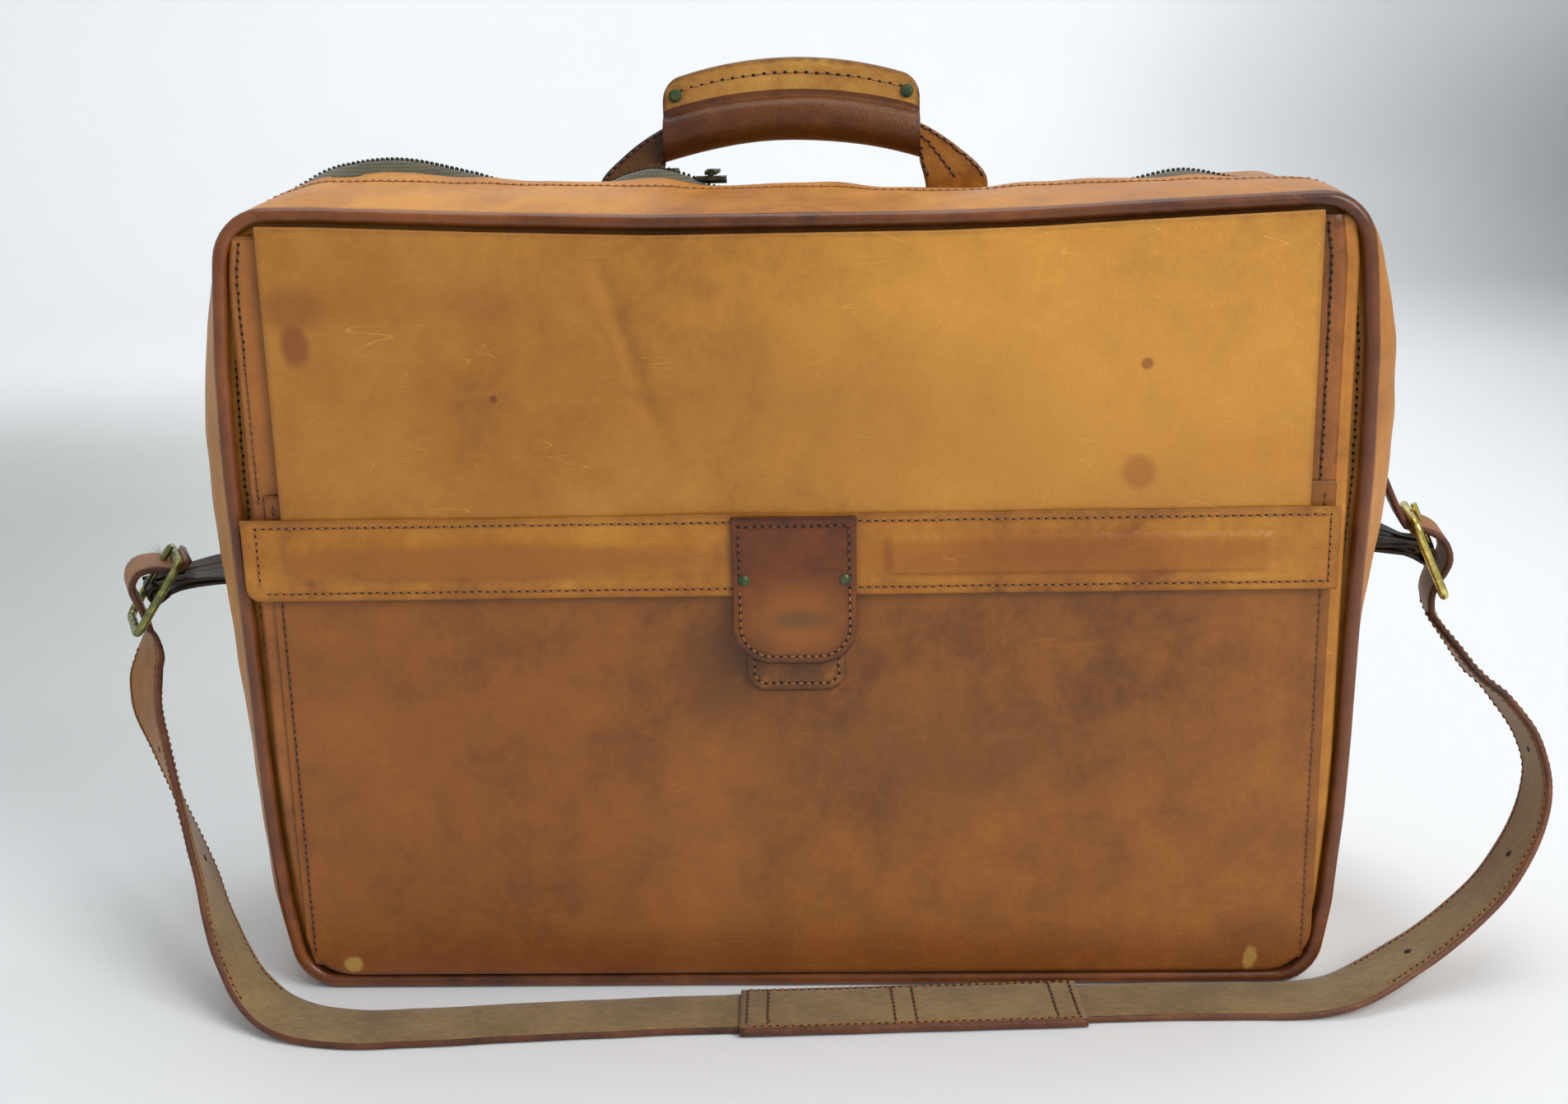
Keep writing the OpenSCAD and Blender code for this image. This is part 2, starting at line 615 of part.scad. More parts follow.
// ---- Shoulder strap ----
module strap_left() {
    color("rosybrown") sweep(strap_rings(
        concat(weave(left_weave, left_centre, left_tilt, left_turn, -1), left_run),
        strap_w, strap_t));
}
module strap_pad() { color("tan") sweep(strap_rings(pad_run, pad_w, 4)); }
module strap_right() {
    color("rosybrown") sweep(strap_rings(
        concat(right_run, backwards(weave(right_weave, right_centre, right_tilt, right_turn, 1))),
        strap_w, strap_t));
}
module left_buckle() {
    color("gold") at_buckle(left_centre, left_tilt, left_turn, -1) buckle();
}
module right_buckle() {
    color("gold") at_buckle(right_centre, right_tilt, right_turn, 1) buckle();
}
module left_prong() {
    color("goldenrod") at_buckle(left_centre, left_tilt, left_turn, -1) prong(-1);
}
module right_prong() {
    color("goldenrod") at_buckle(right_centre, right_tilt, right_turn, 1) prong(1);
}

rear_gusset();
bottom_gusset();
back_panel();
rear_piping();
back_board();
bottom_board();
rear_lining();
rear_gusset_lining();
rear_zip_tape();
rear_zip_teeth();
handle_plate();
left_strap_root();
right_strap_root();
left_side_tab();
right_side_tab();
left_tab_patch();
right_tab_patch();
tab_patch_rivets();
front_gusset();
front_panel();
front_piping();
front_board();
front_lining();
front_gusset_lining();
front_zip_tape();
front_zip_teeth();
pocket_panel();
left_pocket_side();
right_pocket_side();
closure_base();
snap_stud();
front_flap();
flap_band();
left_stiffener();
right_stiffener();
closure_tab();
closure_rivets();
closure_tongue();
snap_socket();
grip_wrap();
grip_core();
left_handle_strap();
right_handle_strap();
grip_rivets();
left_slider();
right_slider();
left_pull();
right_pull();
strap_left();
strap_pad();
strap_right();
left_buckle();
right_buckle();
left_prong();
right_prong();
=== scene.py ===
"""Looks of a soft leather attache satchel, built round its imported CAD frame.

Lengths are millimetres in the case's frame until put() writes a mesh in metres.
"""
import json
import math

import bmesh
import bpy
import numpy as np
from mathutils import Matrix, Vector

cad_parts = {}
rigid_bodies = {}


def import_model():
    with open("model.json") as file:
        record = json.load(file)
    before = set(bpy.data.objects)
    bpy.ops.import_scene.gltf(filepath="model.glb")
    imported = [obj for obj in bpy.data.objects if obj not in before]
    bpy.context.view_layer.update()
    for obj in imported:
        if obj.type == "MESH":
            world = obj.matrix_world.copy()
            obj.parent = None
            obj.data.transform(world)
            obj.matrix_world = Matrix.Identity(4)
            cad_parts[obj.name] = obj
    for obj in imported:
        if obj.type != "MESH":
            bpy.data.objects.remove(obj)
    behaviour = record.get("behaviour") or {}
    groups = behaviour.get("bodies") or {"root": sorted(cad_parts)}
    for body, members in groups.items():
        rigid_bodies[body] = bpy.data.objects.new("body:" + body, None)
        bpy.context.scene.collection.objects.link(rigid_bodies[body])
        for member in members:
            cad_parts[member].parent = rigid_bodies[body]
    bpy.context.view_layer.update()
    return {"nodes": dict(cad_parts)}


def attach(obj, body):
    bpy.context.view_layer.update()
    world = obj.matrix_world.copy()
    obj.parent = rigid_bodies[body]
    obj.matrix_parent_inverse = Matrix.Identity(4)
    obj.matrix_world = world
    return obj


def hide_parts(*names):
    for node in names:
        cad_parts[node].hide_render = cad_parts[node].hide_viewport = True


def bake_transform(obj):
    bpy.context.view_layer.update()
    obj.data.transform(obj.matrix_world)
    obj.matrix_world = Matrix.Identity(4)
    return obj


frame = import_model()

# ---------------------------------------------------------------- dimensions, as in the CAD
BODY_H, CORNER_R, LOWER_R = 344.5, 20.0, 18.0
TOP_SAG, LEATHER, PIPING_R = 7.2, 2.0, 3.1
HALF_W, SPLIT_Z, PIPING_Y, PIPING_INSET = 230.0, 45.0, 66.5, 3.15
ZIP_Y, FRONT_EDGE, REAR_EDGE = -10.0, -20.0, 0.0
# Tables of (place, value) in mm: how the sewn outline bows, swells and sags
SIDE_OUTLINE = [(0, -6), (12, -4.5), (40, 0), (80, 2.5), (115, 3.5), (190, 4), (230, 5), (280, 4.5),
                (318, 2.5), (344, 0)]
LEFT_SWELL = [(0, 0.5), (40, 0.75), (115, 0.8), (155, 0.95), (215, 1.15), (250, 1.15), (280, 0.98),
              (318, 0.45), (335, 0.15), (346, 0.05)]
RIGHT_SWELL = [(0, 0.1), (40, 0.15), (80, 0.3), (155, 0.5), (190, 0.8), (215, 1.0), (250, 1.12),
               (280, 1.1), (318, 0.65), (335, 0.2), (346, 0.05)]
SAG_SHARE = [(-230, 0), (-188, 0.17), (-122, 0.61), (-55, 0.96), (60, 1), (100, 0.88), (145, 0.62),
             (211, 0.28), (230, 0.17)]
TOP_SWELL = [(-230, 0.1), (-215, 0.4), (-195, 1.1), (-55, 1.2), (11, 0.95), (78, 0.72), (145, 0.7),
             (190, 0.5), (211, 0.25), (230, 0.1)]
SIDE_PROFILE = [(-70, 0), (-63, 4), (-50, 12), (-38, 16), (-20, 17), (0, 17), (25, 16),
                (45, 12), (63, 4), (70, 0)]
TOP_PROFILE = [(-70, 0), (-63, 1), (-50, 4.6), (-36, 6.5), (-27, 7.8), (-20, 9), (-8, 8.5), (2, 4),
               (20, -2), (45, -2), (63, 0), (70, 0)]
# Slack waves of the zip along the top: height, place along x, width
ZIP_SLACK = [(8.5, -168, 34), (6.5, -57, 17), (3.0, 165, 20)]
ZIP_SLACK_DEPTH, CHAIN_SINK = 9.5, 2.4
FRONT_HEM, REAR_HEM, SKIN_STEP = 6.0, -3.6, 3.2
HANDLE_Y, GRIP_Z, GRIP_ARC, GRIP_L, GRIP_R, FIN_H = 20.0, 372.5, 191.0, 112.0, 9.8, 22.8
LEFT = dict(centre=(-303, 12, 163.6), tilt=34.5, turn=25, s=-1, root_z=179)
RIGHT = dict(centre=(284, 12, 174.7), tilt=24, turn=-8, s=1, root_z=183)
STRAP_W, STRAP_T, PAD_W, PAD_T = 30.0, 3.0, 36.0, 4.0
# Strap points (along, above) at a buckle, then (x, y, z, turn in degrees) over the floor
LEFT_WEAVE = [(-22, -4.2), (-21, -4.15), (-20, -4.1), (-17, -3.6), (-14, 0.5), (-11, 7),
              (-5, 12.5), (3, 11), (8, 4), (13, -2), (18, -7.5)]
RIGHT_WEAVE = [(-42, -4.5), (-32, -4.5), (-20, -4.1), (-17, -3.6), (-14, 0.5), (-10, 5.5),
               (-4, 9), (4, 8.5), (9, 4.5), (13.5, -1.5), (20, -6), (31, -7.5)]
LEFT_RUN = [(-306.8, 6, 134, 38), (-306.5, -1, 124.5, 42), (-303, -10, 112.5, 41),
            (-294.5, -21, 96.4, 34), (-284, -34, 78.1, 26), (-274.5, -46, 63, 19),
            (-266.5, -57, 50.5, 13),
            (-258, -70, 35.5, 7), (-249.5, -81, 23, 3), (-240, -89, 12, 0), (-228, -97, 5, 0),
            (-212, -104, 2.2, 0), (-190, -108, 1.7, 0), (-165, -107, 1.7, 0), (-135, -104, 1.7, 0),
            (-100, -101, 1.7, 0), (-65, -98, 1.7, 0), (-27, -96, 1.7, 0)]
PAD_RUN = [(-26.6, -96, 2.2, 0), (5, -95, 2.2, 0), (45, -93, 2.2, 0), (85, -91, 2.2, 0),
           (119.6, -89, 2.2, 0)]
RIGHT_RUN = [(120, -89, 1.7, 0), (150, -87, 1.7, 0), (184, -86.5, 1.7, 0), (206, -87, 1.9, 0),
             (222, -86.5, 3, 0), (234, -84, 5, 0), (246, -78, 8, 0), (258, -72, 12, 0),
             (272, -66, 18, 0), (287, -60, 27, 0), (301, -54, 38, 0), (312, -48, 50, 0),
             (320, -42, 62, 0), (325, -36, 75, 0), (326, -30, 88, 0), (322, -24, 101, 6),
             (312, -17, 115, 8), (300, -9, 127, 2)]

# ---------------------------------------------------------------- camera
CAM_AT, LENS, PITCH, YAW, ROLL = (0.024, -0.809, 0.396), 42.35, 14.88, -2.19, -1.34
pitch, yaw, roll = (math.radians(a) for a in (PITCH, YAW, ROLL))
ahead = Vector((math.sin(yaw) * math.cos(pitch), math.cos(yaw) * math.cos(pitch), -math.sin(pitch)))
level = Vector((math.cos(yaw), -math.sin(yaw), 0))
upright = level.cross(ahead)
cam_x = math.cos(roll) * level + math.sin(roll) * upright
cam_y = -math.sin(roll) * level + math.cos(roll) * upright
camera = bpy.data.objects.new("camera", bpy.data.cameras.new("camera"))
bpy.context.scene.collection.objects.link(camera)
camera.matrix_world = Matrix.Translation(CAM_AT) @ Matrix((cam_x, cam_y, -ahead)).transposed().to_4x4()
camera.data.sensor_width, camera.data.lens = 36, LENS
bpy.context.scene.camera = camera


# ---------------------------------------------------------------- node graphs
def rgb(r, g, b):
    """Linear colour from an sRGB triple of 0 to 255."""
    lin = [c / 255 / 12.92 if c <= 10.3 else ((c / 255 + 0.055) / 1.055) ** 2.4 for c in (r, g, b)]
    return (*lin, 1.0)


class Graph:
    """Short-hand for one node material."""

    def __init__(self, name):
        self.material = bpy.data.materials.new(name)
        self.material.use_nodes = True
        self.tree = self.material.node_tree
        self.bsdf = self.tree.nodes["Principled BSDF"]
        self.at = self.node("ShaderNodeTexCoord").outputs["Object"]

    def node(self, kind, props=(), **inputs):
        made = self.tree.nodes.new(kind)
        for key, value in dict(props).items():
            setattr(made, key, value)
        for key, value in inputs.items():
            self.put(made.inputs[int(key[1:]) if key[0] == "i" and key[1:].isdigit() else key], value)
        return made

    def put(self, socket, value):
        if isinstance(value, bpy.types.NodeSocket):
            self.tree.links.new(value, socket)
        else:
            socket.default_value = value

    def set(self, name, value):
        self.put(self.bsdf.inputs[name], value)

    def math(self, op, a, b=0.0, c=None):
        extra = {} if c is None else {"i2": c}
        return self.node("ShaderNodeMath", dict(operation=op), i0=a, i1=b, **extra).outputs[0]

    def scaled(self, size, shift=(0, 0, 0), turn=(0, 0, 0)):
        return self.node("ShaderNodeMapping", i0=self.at, Scale=size, Location=shift,
                         Rotation=turn).outputs[0]

    def noise(self, scale, detail=3.0, rough=0.55, at=None, distort=0.0):
        return self.node("ShaderNodeTexNoise", i0=at or self.at, Scale=scale, Detail=detail,
                         Roughness=rough, Distortion=distort).outputs[0]

    def cells(self, scale):
        return self.node("ShaderNodeTexVoronoi", Vector=self.at, Scale=scale).outputs[0]

    def span(self, value, low, high):
        """Smooth ramp of value from 0 at low to 1 at high."""
        return self.node("ShaderNodeMapRange", dict(interpolation_type="SMOOTHSTEP"), i0=value,
                         i1=low, i2=high).outputs[0]

    def mix(self, factor, a, b):
        made = self.tree.nodes.new("ShaderNodeMix")
        made.data_type = "RGBA"
        self.put(made.inputs[0], factor)
        self.put(made.inputs[6], a)
        self.put(made.inputs[7], b)
        return made.outputs[2]

    def attribute(self, name):
        return self.node("ShaderNodeAttribute", dict(attribute_name=name)).outputs["Fac"]

    def spot(self, centre, radii, soft=0.35, warp=0.25):
        """Factor 1 inside an ellipsoid given in mm, with a ragged soft border."""
        off = self.node("ShaderNodeVectorMath", dict(operation="SUBTRACT"), i0=self.at,
                        i1=tuple(c * 0.001 for c in centre)).outputs[0]
        ratio = self.node("ShaderNodeVectorMath", dict(operation="DIVIDE"), i0=off,
                          i1=tuple(r * 0.001 for r in radii)).outputs[0]
        far = self.node("ShaderNodeVectorMath", dict(operation="LENGTH"), i0=ratio).outputs["Value"]
        rag = self.noise(900 / max(radii), 3)
        far = self.math("MULTIPLY_ADD", rag, warp * 2, self.math("SUBTRACT", far, warp))
        return self.span(far, 1.0 + soft, 1.0 - soft)

    def bump(self, height, distance, strength=1.0, normal=None):
        extra = {} if normal is None else {"Normal": normal}
        return self.node("ShaderNodeBump", Height=height, Distance=distance, Strength=strength,
                         **extra).outputs[0]


def leather(name, light, base, dark, rough=0.5, grain=1.0, wear=0.5, edge_dark=0.55, spots=(),
            streak=0.0, seam_dark=0.3, edge_colour=(70, 38, 22), coat=0.0):
    """Vegetable-tanned leather: blotches, pores, scratches, burnished edges and seams."""
    g = Graph(name)
    broad = g.noise(9, 3, 0.5)
    mottle = g.noise(48, 6, 0.62, distort=0.4)
    fleck = g.noise(260, 4, 0.6)
    tone = g.math("MULTIPLY_ADD", mottle, 0.45, g.math("MULTIPLY", broad, 0.55))
    tone = g.math("MULTIPLY_ADD", fleck, 0.16, g.math("SUBTRACT", tone, 0.08))
    colour = g.mix(g.span(tone, 0.34, 0.52), rgb(*dark), rgb(*base))
    colour = g.mix(g.span(tone, 0.48, 0.68), colour, rgb(*light))
    for centre, radii, tint, amount, options in spots:
        factor = g.math("MULTIPLY", g.spot(centre, radii, **options), amount)
        colour = g.mix(factor, colour, rgb(*tint))
    if streak:
        along = g.noise(1.0, 5, 0.65, at=g.scaled((70, 70, 7)))
        colour = g.mix(g.math("MULTIPLY", g.span(along, 0.5, 0.75), streak), colour, rgb(*dark))
    pores = g.span(g.cells(210), 0.16, 0.05)
    where = g.span(g.noise(14, 2), 0.5, 0.68)
    pores = g.math("MULTIPLY", pores, g.math("MULTIPLY", where, 0.4 * wear))
    colour = g.mix(pores, colour, rgb(*dark))
    lines = 0.0
    for index, (size, turn) in enumerate((((9, 9, 60), 0.9), ((7, 7, 48), -0.7), ((11, 11, 80), 1.5))):
        at = g.scaled(size, shift=(3.1 * index, 1.7, 0.4 * index), turn=(0, turn, 0))
        wave = g.math("ABSOLUTE", g.math("SUBTRACT", g.noise(1.0, 2, 0.45, at=at), 0.5))
        some = g.span(g.noise(26 + 9 * index, 2), 0.56, 0.64)
        line = g.math("MULTIPLY", g.span(wave, 0.0032, 0.0008), some)
        lines = g.math("MAXIMUM", line, lines)
    pale = rgb(*[min(255, c * 1.25 + 18) for c in light])
    colour = g.mix(g.math("MULTIPLY", lines, 0.24 * wear), colour, pale)
    edge = g.attribute("edge")
    rag = g.math("MULTIPLY_ADD", g.noise(190, 3), 3.0, g.math("SUBTRACT", edge, 1.2))
    colour = g.mix(g.math("MULTIPLY", g.span(rag, 2.6, 0.2), edge_dark), colour, rgb(*edge_colour))
    seam = g.attribute("seam")
    colour = g.mix(g.math("MULTIPLY", g.span(seam, 2.4, 0.4), seam_dark), colour, rgb(*dark))
    g.set("Base Color", colour)
    pits = g.cells(820)
    wrinkle = g.noise(130, 5, 0.6, distort=0.6)
    gloss = g.math("MULTIPLY_ADD", mottle, 0.22, rough - 0.11)
    g.set("Roughness", g.math("MULTIPLY_ADD", lines, 0.12 * wear, gloss))
    normal = g.bump(pits, 0.00022 * grain, 0.5)
    normal = g.bump(wrinkle, 0.0008 * grain, 0.35, normal)
    normal = g.bump(g.math("MULTIPLY", lines, -1.0), 0.00025 * wear, 0.6, normal)
    g.set("Normal", normal)
    g.set("Specular IOR Level", 0.4)
    if coat:
        g.set("Coat Weight", coat)
        g.set("Coat Roughness", 0.3)
    return g.material


def suede(name, light, dark, edge_colour):
    """Flesh side of leather: fibrous, matt."""
    g = Graph(name)
    fibre = g.noise(1.0, 6, 0.7, at=g.scaled((260, 420, 420)))
    blot = g.noise(26, 4, 0.6)
    tone = g.math("MULTIPLY_ADD", fibre, 0.5, g.math("MULTIPLY", blot, 0.5))
    colour = g.mix(g.span(tone, 0.36, 0.64), rgb(*dark), rgb(*light))
    rag = g.math("MULTIPLY_ADD", g.noise(150, 3), 2.0, g.math("SUBTRACT", g.attribute("edge"), 0.9))
    colour = g.mix(g.math("MULTIPLY", g.span(rag, 1.5, 0.1), 0.75), colour, rgb(*edge_colour))
    g.set("Base Color", colour)
    g.set("Roughness", g.math("MULTIPLY_ADD", fibre, 0.15, 0.72))
    g.set("Normal", g.bump(fibre, 0.0006, 0.6, g.bump(g.noise(900, 3), 0.0002, 0.5)))
    g.set("Sheen Weight", 0.25)
    g.set("Sheen Roughness", 0.5)
    return g.material


def cloth(name, light, dark, pitch=1400.0, depth=0.0003):
    """Plain woven cloth or tape."""
    g = Graph(name)
    warp = g.node("ShaderNodeTexWave", dict(bands_direction="X"), i0=g.at, Scale=pitch * 0.16).outputs[1]
    weft = g.node("ShaderNodeTexWave", dict(bands_direction="Z"), i0=g.at, Scale=pitch * 0.16).outputs[1]
    side = g.node("ShaderNodeTexWave", dict(bands_direction="Y"), i0=g.at, Scale=pitch * 0.16).outputs[1]
    weave = g.math("MULTIPLY", g.math("MAXIMUM", warp, weft), g.math("MULTIPLY_ADD", side, 0.6, 0.4))
    tone = g.math("MULTIPLY_ADD", g.noise(40, 4), 0.6, g.math("MULTIPLY", weave, 0.4))
    g.set("Base Color", g.mix(g.span(tone, 0.3, 0.75), rgb(*dark), rgb(*light)))
    g.set("Roughness", g.math("MULTIPLY_ADD", weave, -0.1, 0.9))
    g.set("Normal", g.bump(weave, depth, 0.6))
    g.set("Sheen Weight", 0.2)
    return g.material


def metal(name, bright, dull, patina, rough=0.35, aged=0.5):
    """Brass or zip metal, blotched bright and dull, with a tarnish crust scattered in patches."""
    g = Graph(name)
    blot = g.noise(240, 5, 0.65)
    colour = g.mix(g.span(blot, 0.35, 0.6), rgb(*bright), rgb(*dull))
    crust = g.math("MULTIPLY", g.span(g.noise(420, 4, 0.6), 0.62 - 0.3 * aged, 0.75 - 0.25 * aged), aged)
    g.set("Base Color", g.mix(crust, colour, rgb(*patina)))
    g.set("Metallic", g.math("MULTIPLY_ADD", crust, -0.75, 1.0))
    g.set("Roughness", g.math("MULTIPLY_ADD", crust, 0.35, g.math("MULTIPLY_ADD", blot, 0.2, rough - 0.1)))
    g.set("Normal", g.bump(blot, 0.00025, 0.4, g.bump(g.noise(1500, 3), 0.00008, 0.5)))
    return g.material


def plain(name, light, dark, rough, scale, depth):
    """Small fibrous parts: thread, board, padding."""
    g = Graph(name)
    tone = g.noise(scale, 4, 0.6)
    g.set("Base Color", g.mix(g.span(tone, 0.35, 0.65), rgb(*dark), rgb(*light)))
    g.set("Roughness", g.math("MULTIPLY_ADD", tone, 0.12, rough - 0.06))
    g.set("Normal", g.bump(tone, depth, 0.5))
    return g.material


# Stains and tone patches, among them painted shade and a painted highlight marked below, each (centre, radii,
# colour, amount, border), and the materials by name
SPOT = dict(soft=0.35, warp=0.25)
HAZE = dict(soft=0.75, warp=0.35)
FLAP_SPOTS = [
    ((130, -72, 232), (90, 40, 26), (166, 102, 38), 0.6, HAZE),
    ((-150, -72, 270), (150, 40, 120), (150, 92, 30), 0.55, HAZE),
    # Lighter haze at the upper right: partly the leather's paler tone, partly a painted highlight where the
    # light falls
    ((120, -72, 290), (130, 40, 70), (216, 154, 62), 0.6, HAZE),
    ((-200.6, -72, 289), (6, 9, 8), (118, 58, 18), 0.7, SPOT),
    ((-200, -72, 304), (14, 9, 8), (128, 70, 22), 0.55, dict(soft=0.5, warp=0.4)),
    ((-124, -72, 305), (18, 9, 8), (140, 78, 25), 0.4, HAZE),
    ((140.7, -72, 232), (7, 9, 7), (140, 76, 24), 0.5, dict(soft=0.3, warp=0.2)),
    ((143, -72, 276), (2.5, 9, 2.5), (120, 62, 19), 0.7, SPOT),
    ((-121, -72, 266), (1.6, 9, 1.6), (110, 50, 18), 0.8, SPOT),
    ((30, -72, 262), (70, 30, 26), (150, 92, 31), 0.35, HAZE),
]
BAND_SPOTS = [
    ((-125, -75, 198), (92, 9, 8), (150, 88, 25), 0.8, SPOT),
    ((117, -75, 198), (88, 9, 9), (150, 84, 22), 0.7, SPOT),
    ((105, -75, 199), (30, 9, 8), (120, 62, 19), 0.35, HAZE),
]
POCKET_SPOTS = [
    ((-150, -70, 90), (90, 30, 90), (150, 84, 25), 0.35, HAZE),
    # Painted shadow in the dent beside the foot of the closure tab
    ((-28, -70, 150), (20, 30, 22), (84, 48, 19), 0.62, HAZE),
    # Darker patch over the shallow dent to the right: painted shade in the dent
    ((60, -70, 110), (60, 30, 22), (112, 68, 28), 0.45, HAZE),
    ((-40, -70, 70), (22, 30, 60), (166, 104, 41), 0.35, HAZE),
    ((20, -70, 14), (230, 30, 12), (124, 60, 21), 0.55, HAZE),
    ((-200, -71, 12), (4, 9, 3.5), (196, 160, 81), 0.6, dict(soft=0.3, warp=0.8)),
    ((195, -71, 14), (3, 9, 5), (190, 152, 75), 0.6, dict(soft=0.3, warp=0.8)),
]
M = {
    "flap": leather("flap_leather", (204, 142, 58), (180, 120, 38), (142, 86, 25), 0.44, wear=0.8,
                    spots=FLAP_SPOTS, edge_dark=0.25),
    "band": leather("band_leather", (188, 126, 41), (166, 104, 31), (124, 70, 19), 0.42, wear=0.6,
                    seam_dark=0.12, edge_dark=0.3, spots=BAND_SPOTS),
    # Darker than the flap leather: partly the pocket's own tone, partly painted shade on the lower panel
    "pocket": leather("pocket_leather", (154, 94, 31), (135, 79, 25), (104, 58, 18), 0.4, wear=0.4,
                      spots=POCKET_SPOTS, edge_dark=0.3, streak=0.15),
    "case": leather("case_leather", (200, 136, 52), (178, 114, 40), (152, 94, 32), 0.46, wear=0.5,
                    edge_dark=0.2),
    # Darker than the case leather: partly its own tone, partly painted shade where the strips lie low beside
    # the piping
    "strip": leather("strip_leather", (168, 104, 43), (146, 86, 34), (104, 58, 24), 0.44, wear=0.4,
                     edge_dark=0.5),
    "piping": leather("piping_leather", (132, 72, 28), (104, 54, 21), (70, 34, 13), 0.34, grain=0.6,
                      wear=0.3, edge_dark=0.0, seam_dark=0.0, coat=0.15),
    "tab": leather("tab_leather", (132, 68, 19), (104, 50, 13), (70, 32, 9), 0.36, wear=0.6,
                   edge_dark=0.7, edge_colour=(52, 26, 18), spots=[
                       ((0, -75, 170), (21, 9, 16), (162, 98, 34), 0.6, HAZE),
                       ((0, -75, 203), (22, 9, 9), (104, 52, 18), 0.5, HAZE),
                       ((2, -75, 172), (11, 9, 4), (84, 62, 36), 0.6, HAZE)]),
    "base": leather("base_leather", (172, 112, 43), (142, 86, 31), (92, 54, 21), 0.45, wear=0.8,
                    edge_dark=0.7, edge_colour=(66, 34, 18)),
    "handle": leather("handle_leather", (200, 150, 68), (172, 120, 50), (112, 66, 25), 0.42,
                      wear=0.5, edge_dark=0.7, edge_colour=(70, 34, 20)),
    "roll": leather("roll_leather", (118, 66, 22), (92, 48, 16), (58, 30, 10), 0.38, wear=0.5,
                    edge_dark=0.5),
    # Dark leather of the side tabs and patches: their own dark brown, deepened as painted shade on the case's
    # sides
    "dark": leather("dark_leather", (96, 58, 27), (66, 40, 19), (36, 22, 12), 0.42, wear=0.6,
                    edge_dark=0.5, edge_colour=(30, 18, 12)),
    "strap": leather("strap_leather", (172, 118, 62), (150, 98, 49), (112, 66, 31), 0.5, wear=0.5,
                     edge_dark=0.8, edge_colour=(74, 42, 26)),
    # Darker leather for the left handle strap: painted shade on its underside
    "grip_end": leather("grip_end_leather", (148, 98, 44), (96, 60, 28), (42, 28, 16), 0.4, wear=0.9,
                        edge_dark=0.8, edge_colour=(34, 22, 18)),
    "flesh": suede("strap_flesh", (142, 116, 72), (112, 86, 48), (72, 40, 22)),
    "rim": leather("strap_rim", (120, 72, 42), (94, 52, 30), (60, 32, 20), 0.5, grain=1.6, wear=0.2,
                   edge_dark=0.0, seam_dark=0.0),
    "tape": cloth("zip_tape", (96, 88, 56), (54, 50, 32)),
    "lining": cloth("lining", (170, 146, 108), (132, 110, 78)),
    "board": plain("stiff_board", (150, 130, 100), (120, 100, 74), 0.85, 300, 0.0003),
    "padding": plain("padding", (190, 178, 150), (150, 136, 108), 0.9, 500, 0.0006),
    "thread": plain("thread", (172, 116, 62), (118, 72, 36), 0.7, 1800, 0.0002),
    "thread_dark": plain("thread_dark", (124, 78, 44), (74, 44, 26), 0.7, 1800, 0.0002),
    "thread_tan": plain("thread_tan", (190, 140, 82), (140, 92, 50), 0.7, 1800, 0.0002),
    # Needle and punched holes are dark discs: painted shade inside the holes
    "hole": plain("painted_hole_shade", (52, 30, 18), (32, 18, 12), 0.9, 900, 0.0001),
    "fray": plain("frayed_fibre", (206, 190, 150), (150, 128, 88), 0.85, 1200, 0.0001),
    "zip_metal": metal("zip_metal", (96, 88, 66), (58, 54, 44), (40, 44, 34), 0.42, 0.5),
    "old_brass": metal("old_brass", (120, 118, 70), (72, 82, 52), (48, 76, 56), 0.45, 0.85),
    "green_brass": metal("green_brass", (172, 164, 96), (124, 126, 76), (84, 104, 72), 0.35, 0.6),
    "brass": metal("brass", (224, 208, 120), (186, 168, 88), (120, 124, 66), 0.26, 0.3),
}


# ---------------------------------------------------------------- mesh helpers
def put(name, verts, faces, body, material, slot, replaces=(), edge=None, seam=None, smooth=True,
        picks=None, ride=True):
    """Mesh piece from points in mm. material is one name or several, picked per face by picks."""
    names = [material] if isinstance(material, str) else list(material)
    data = bpy.data.meshes.new(name)
    data.from_pydata((np.asarray(verts, float) * 0.001).tolist(), [], [list(map(int, f)) for f in faces])
    for key, values, empty in (("edge", edge, 20.0), ("seam", seam, 20.0)):
        held = data.attributes.new(key, "FLOAT", "POINT")
        values = np.full(len(verts), empty) if values is None else np.asarray(values, float)
        held.data.foreach_set("value", values.astype(np.float32))
    for n in names:
        data.materials.append(M[n])
    if picks is not None:
        data.polygons.foreach_set("material_index", np.asarray(picks, np.int32))
    if smooth:
        data.polygons.foreach_set("use_smooth", [True] * len(data.polygons))
    data.validate()
    data.update()
    made = bpy.data.objects.new(name, data)
    bpy.context.scene.collection.objects.link(made)
    if ride:
        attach(made, body)
    if replaces:
        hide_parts(*replaces)
    return made


def unit(v):
    v = np.asarray(v, float)
    return v / np.maximum(np.linalg.norm(v, axis=-1, keepdims=True), 1e-9)


def grad(P, axis, closed):
    if closed:
        return (np.roll(P, -1, axis) - np.roll(P, 1, axis)) / 2
    return np.gradient(P, axis=axis)


def normals(P, closed=False, flip=False):
    n = unit(np.cross(grad(P, 0, closed), grad(P, 1, False)))
    return -n if flip else n


def lengths(p):
    """Length along the points p up to each of them."""
    return np.concatenate([[0], np.cumsum(np.linalg.norm(np.diff(p, axis=0), axis=1))])


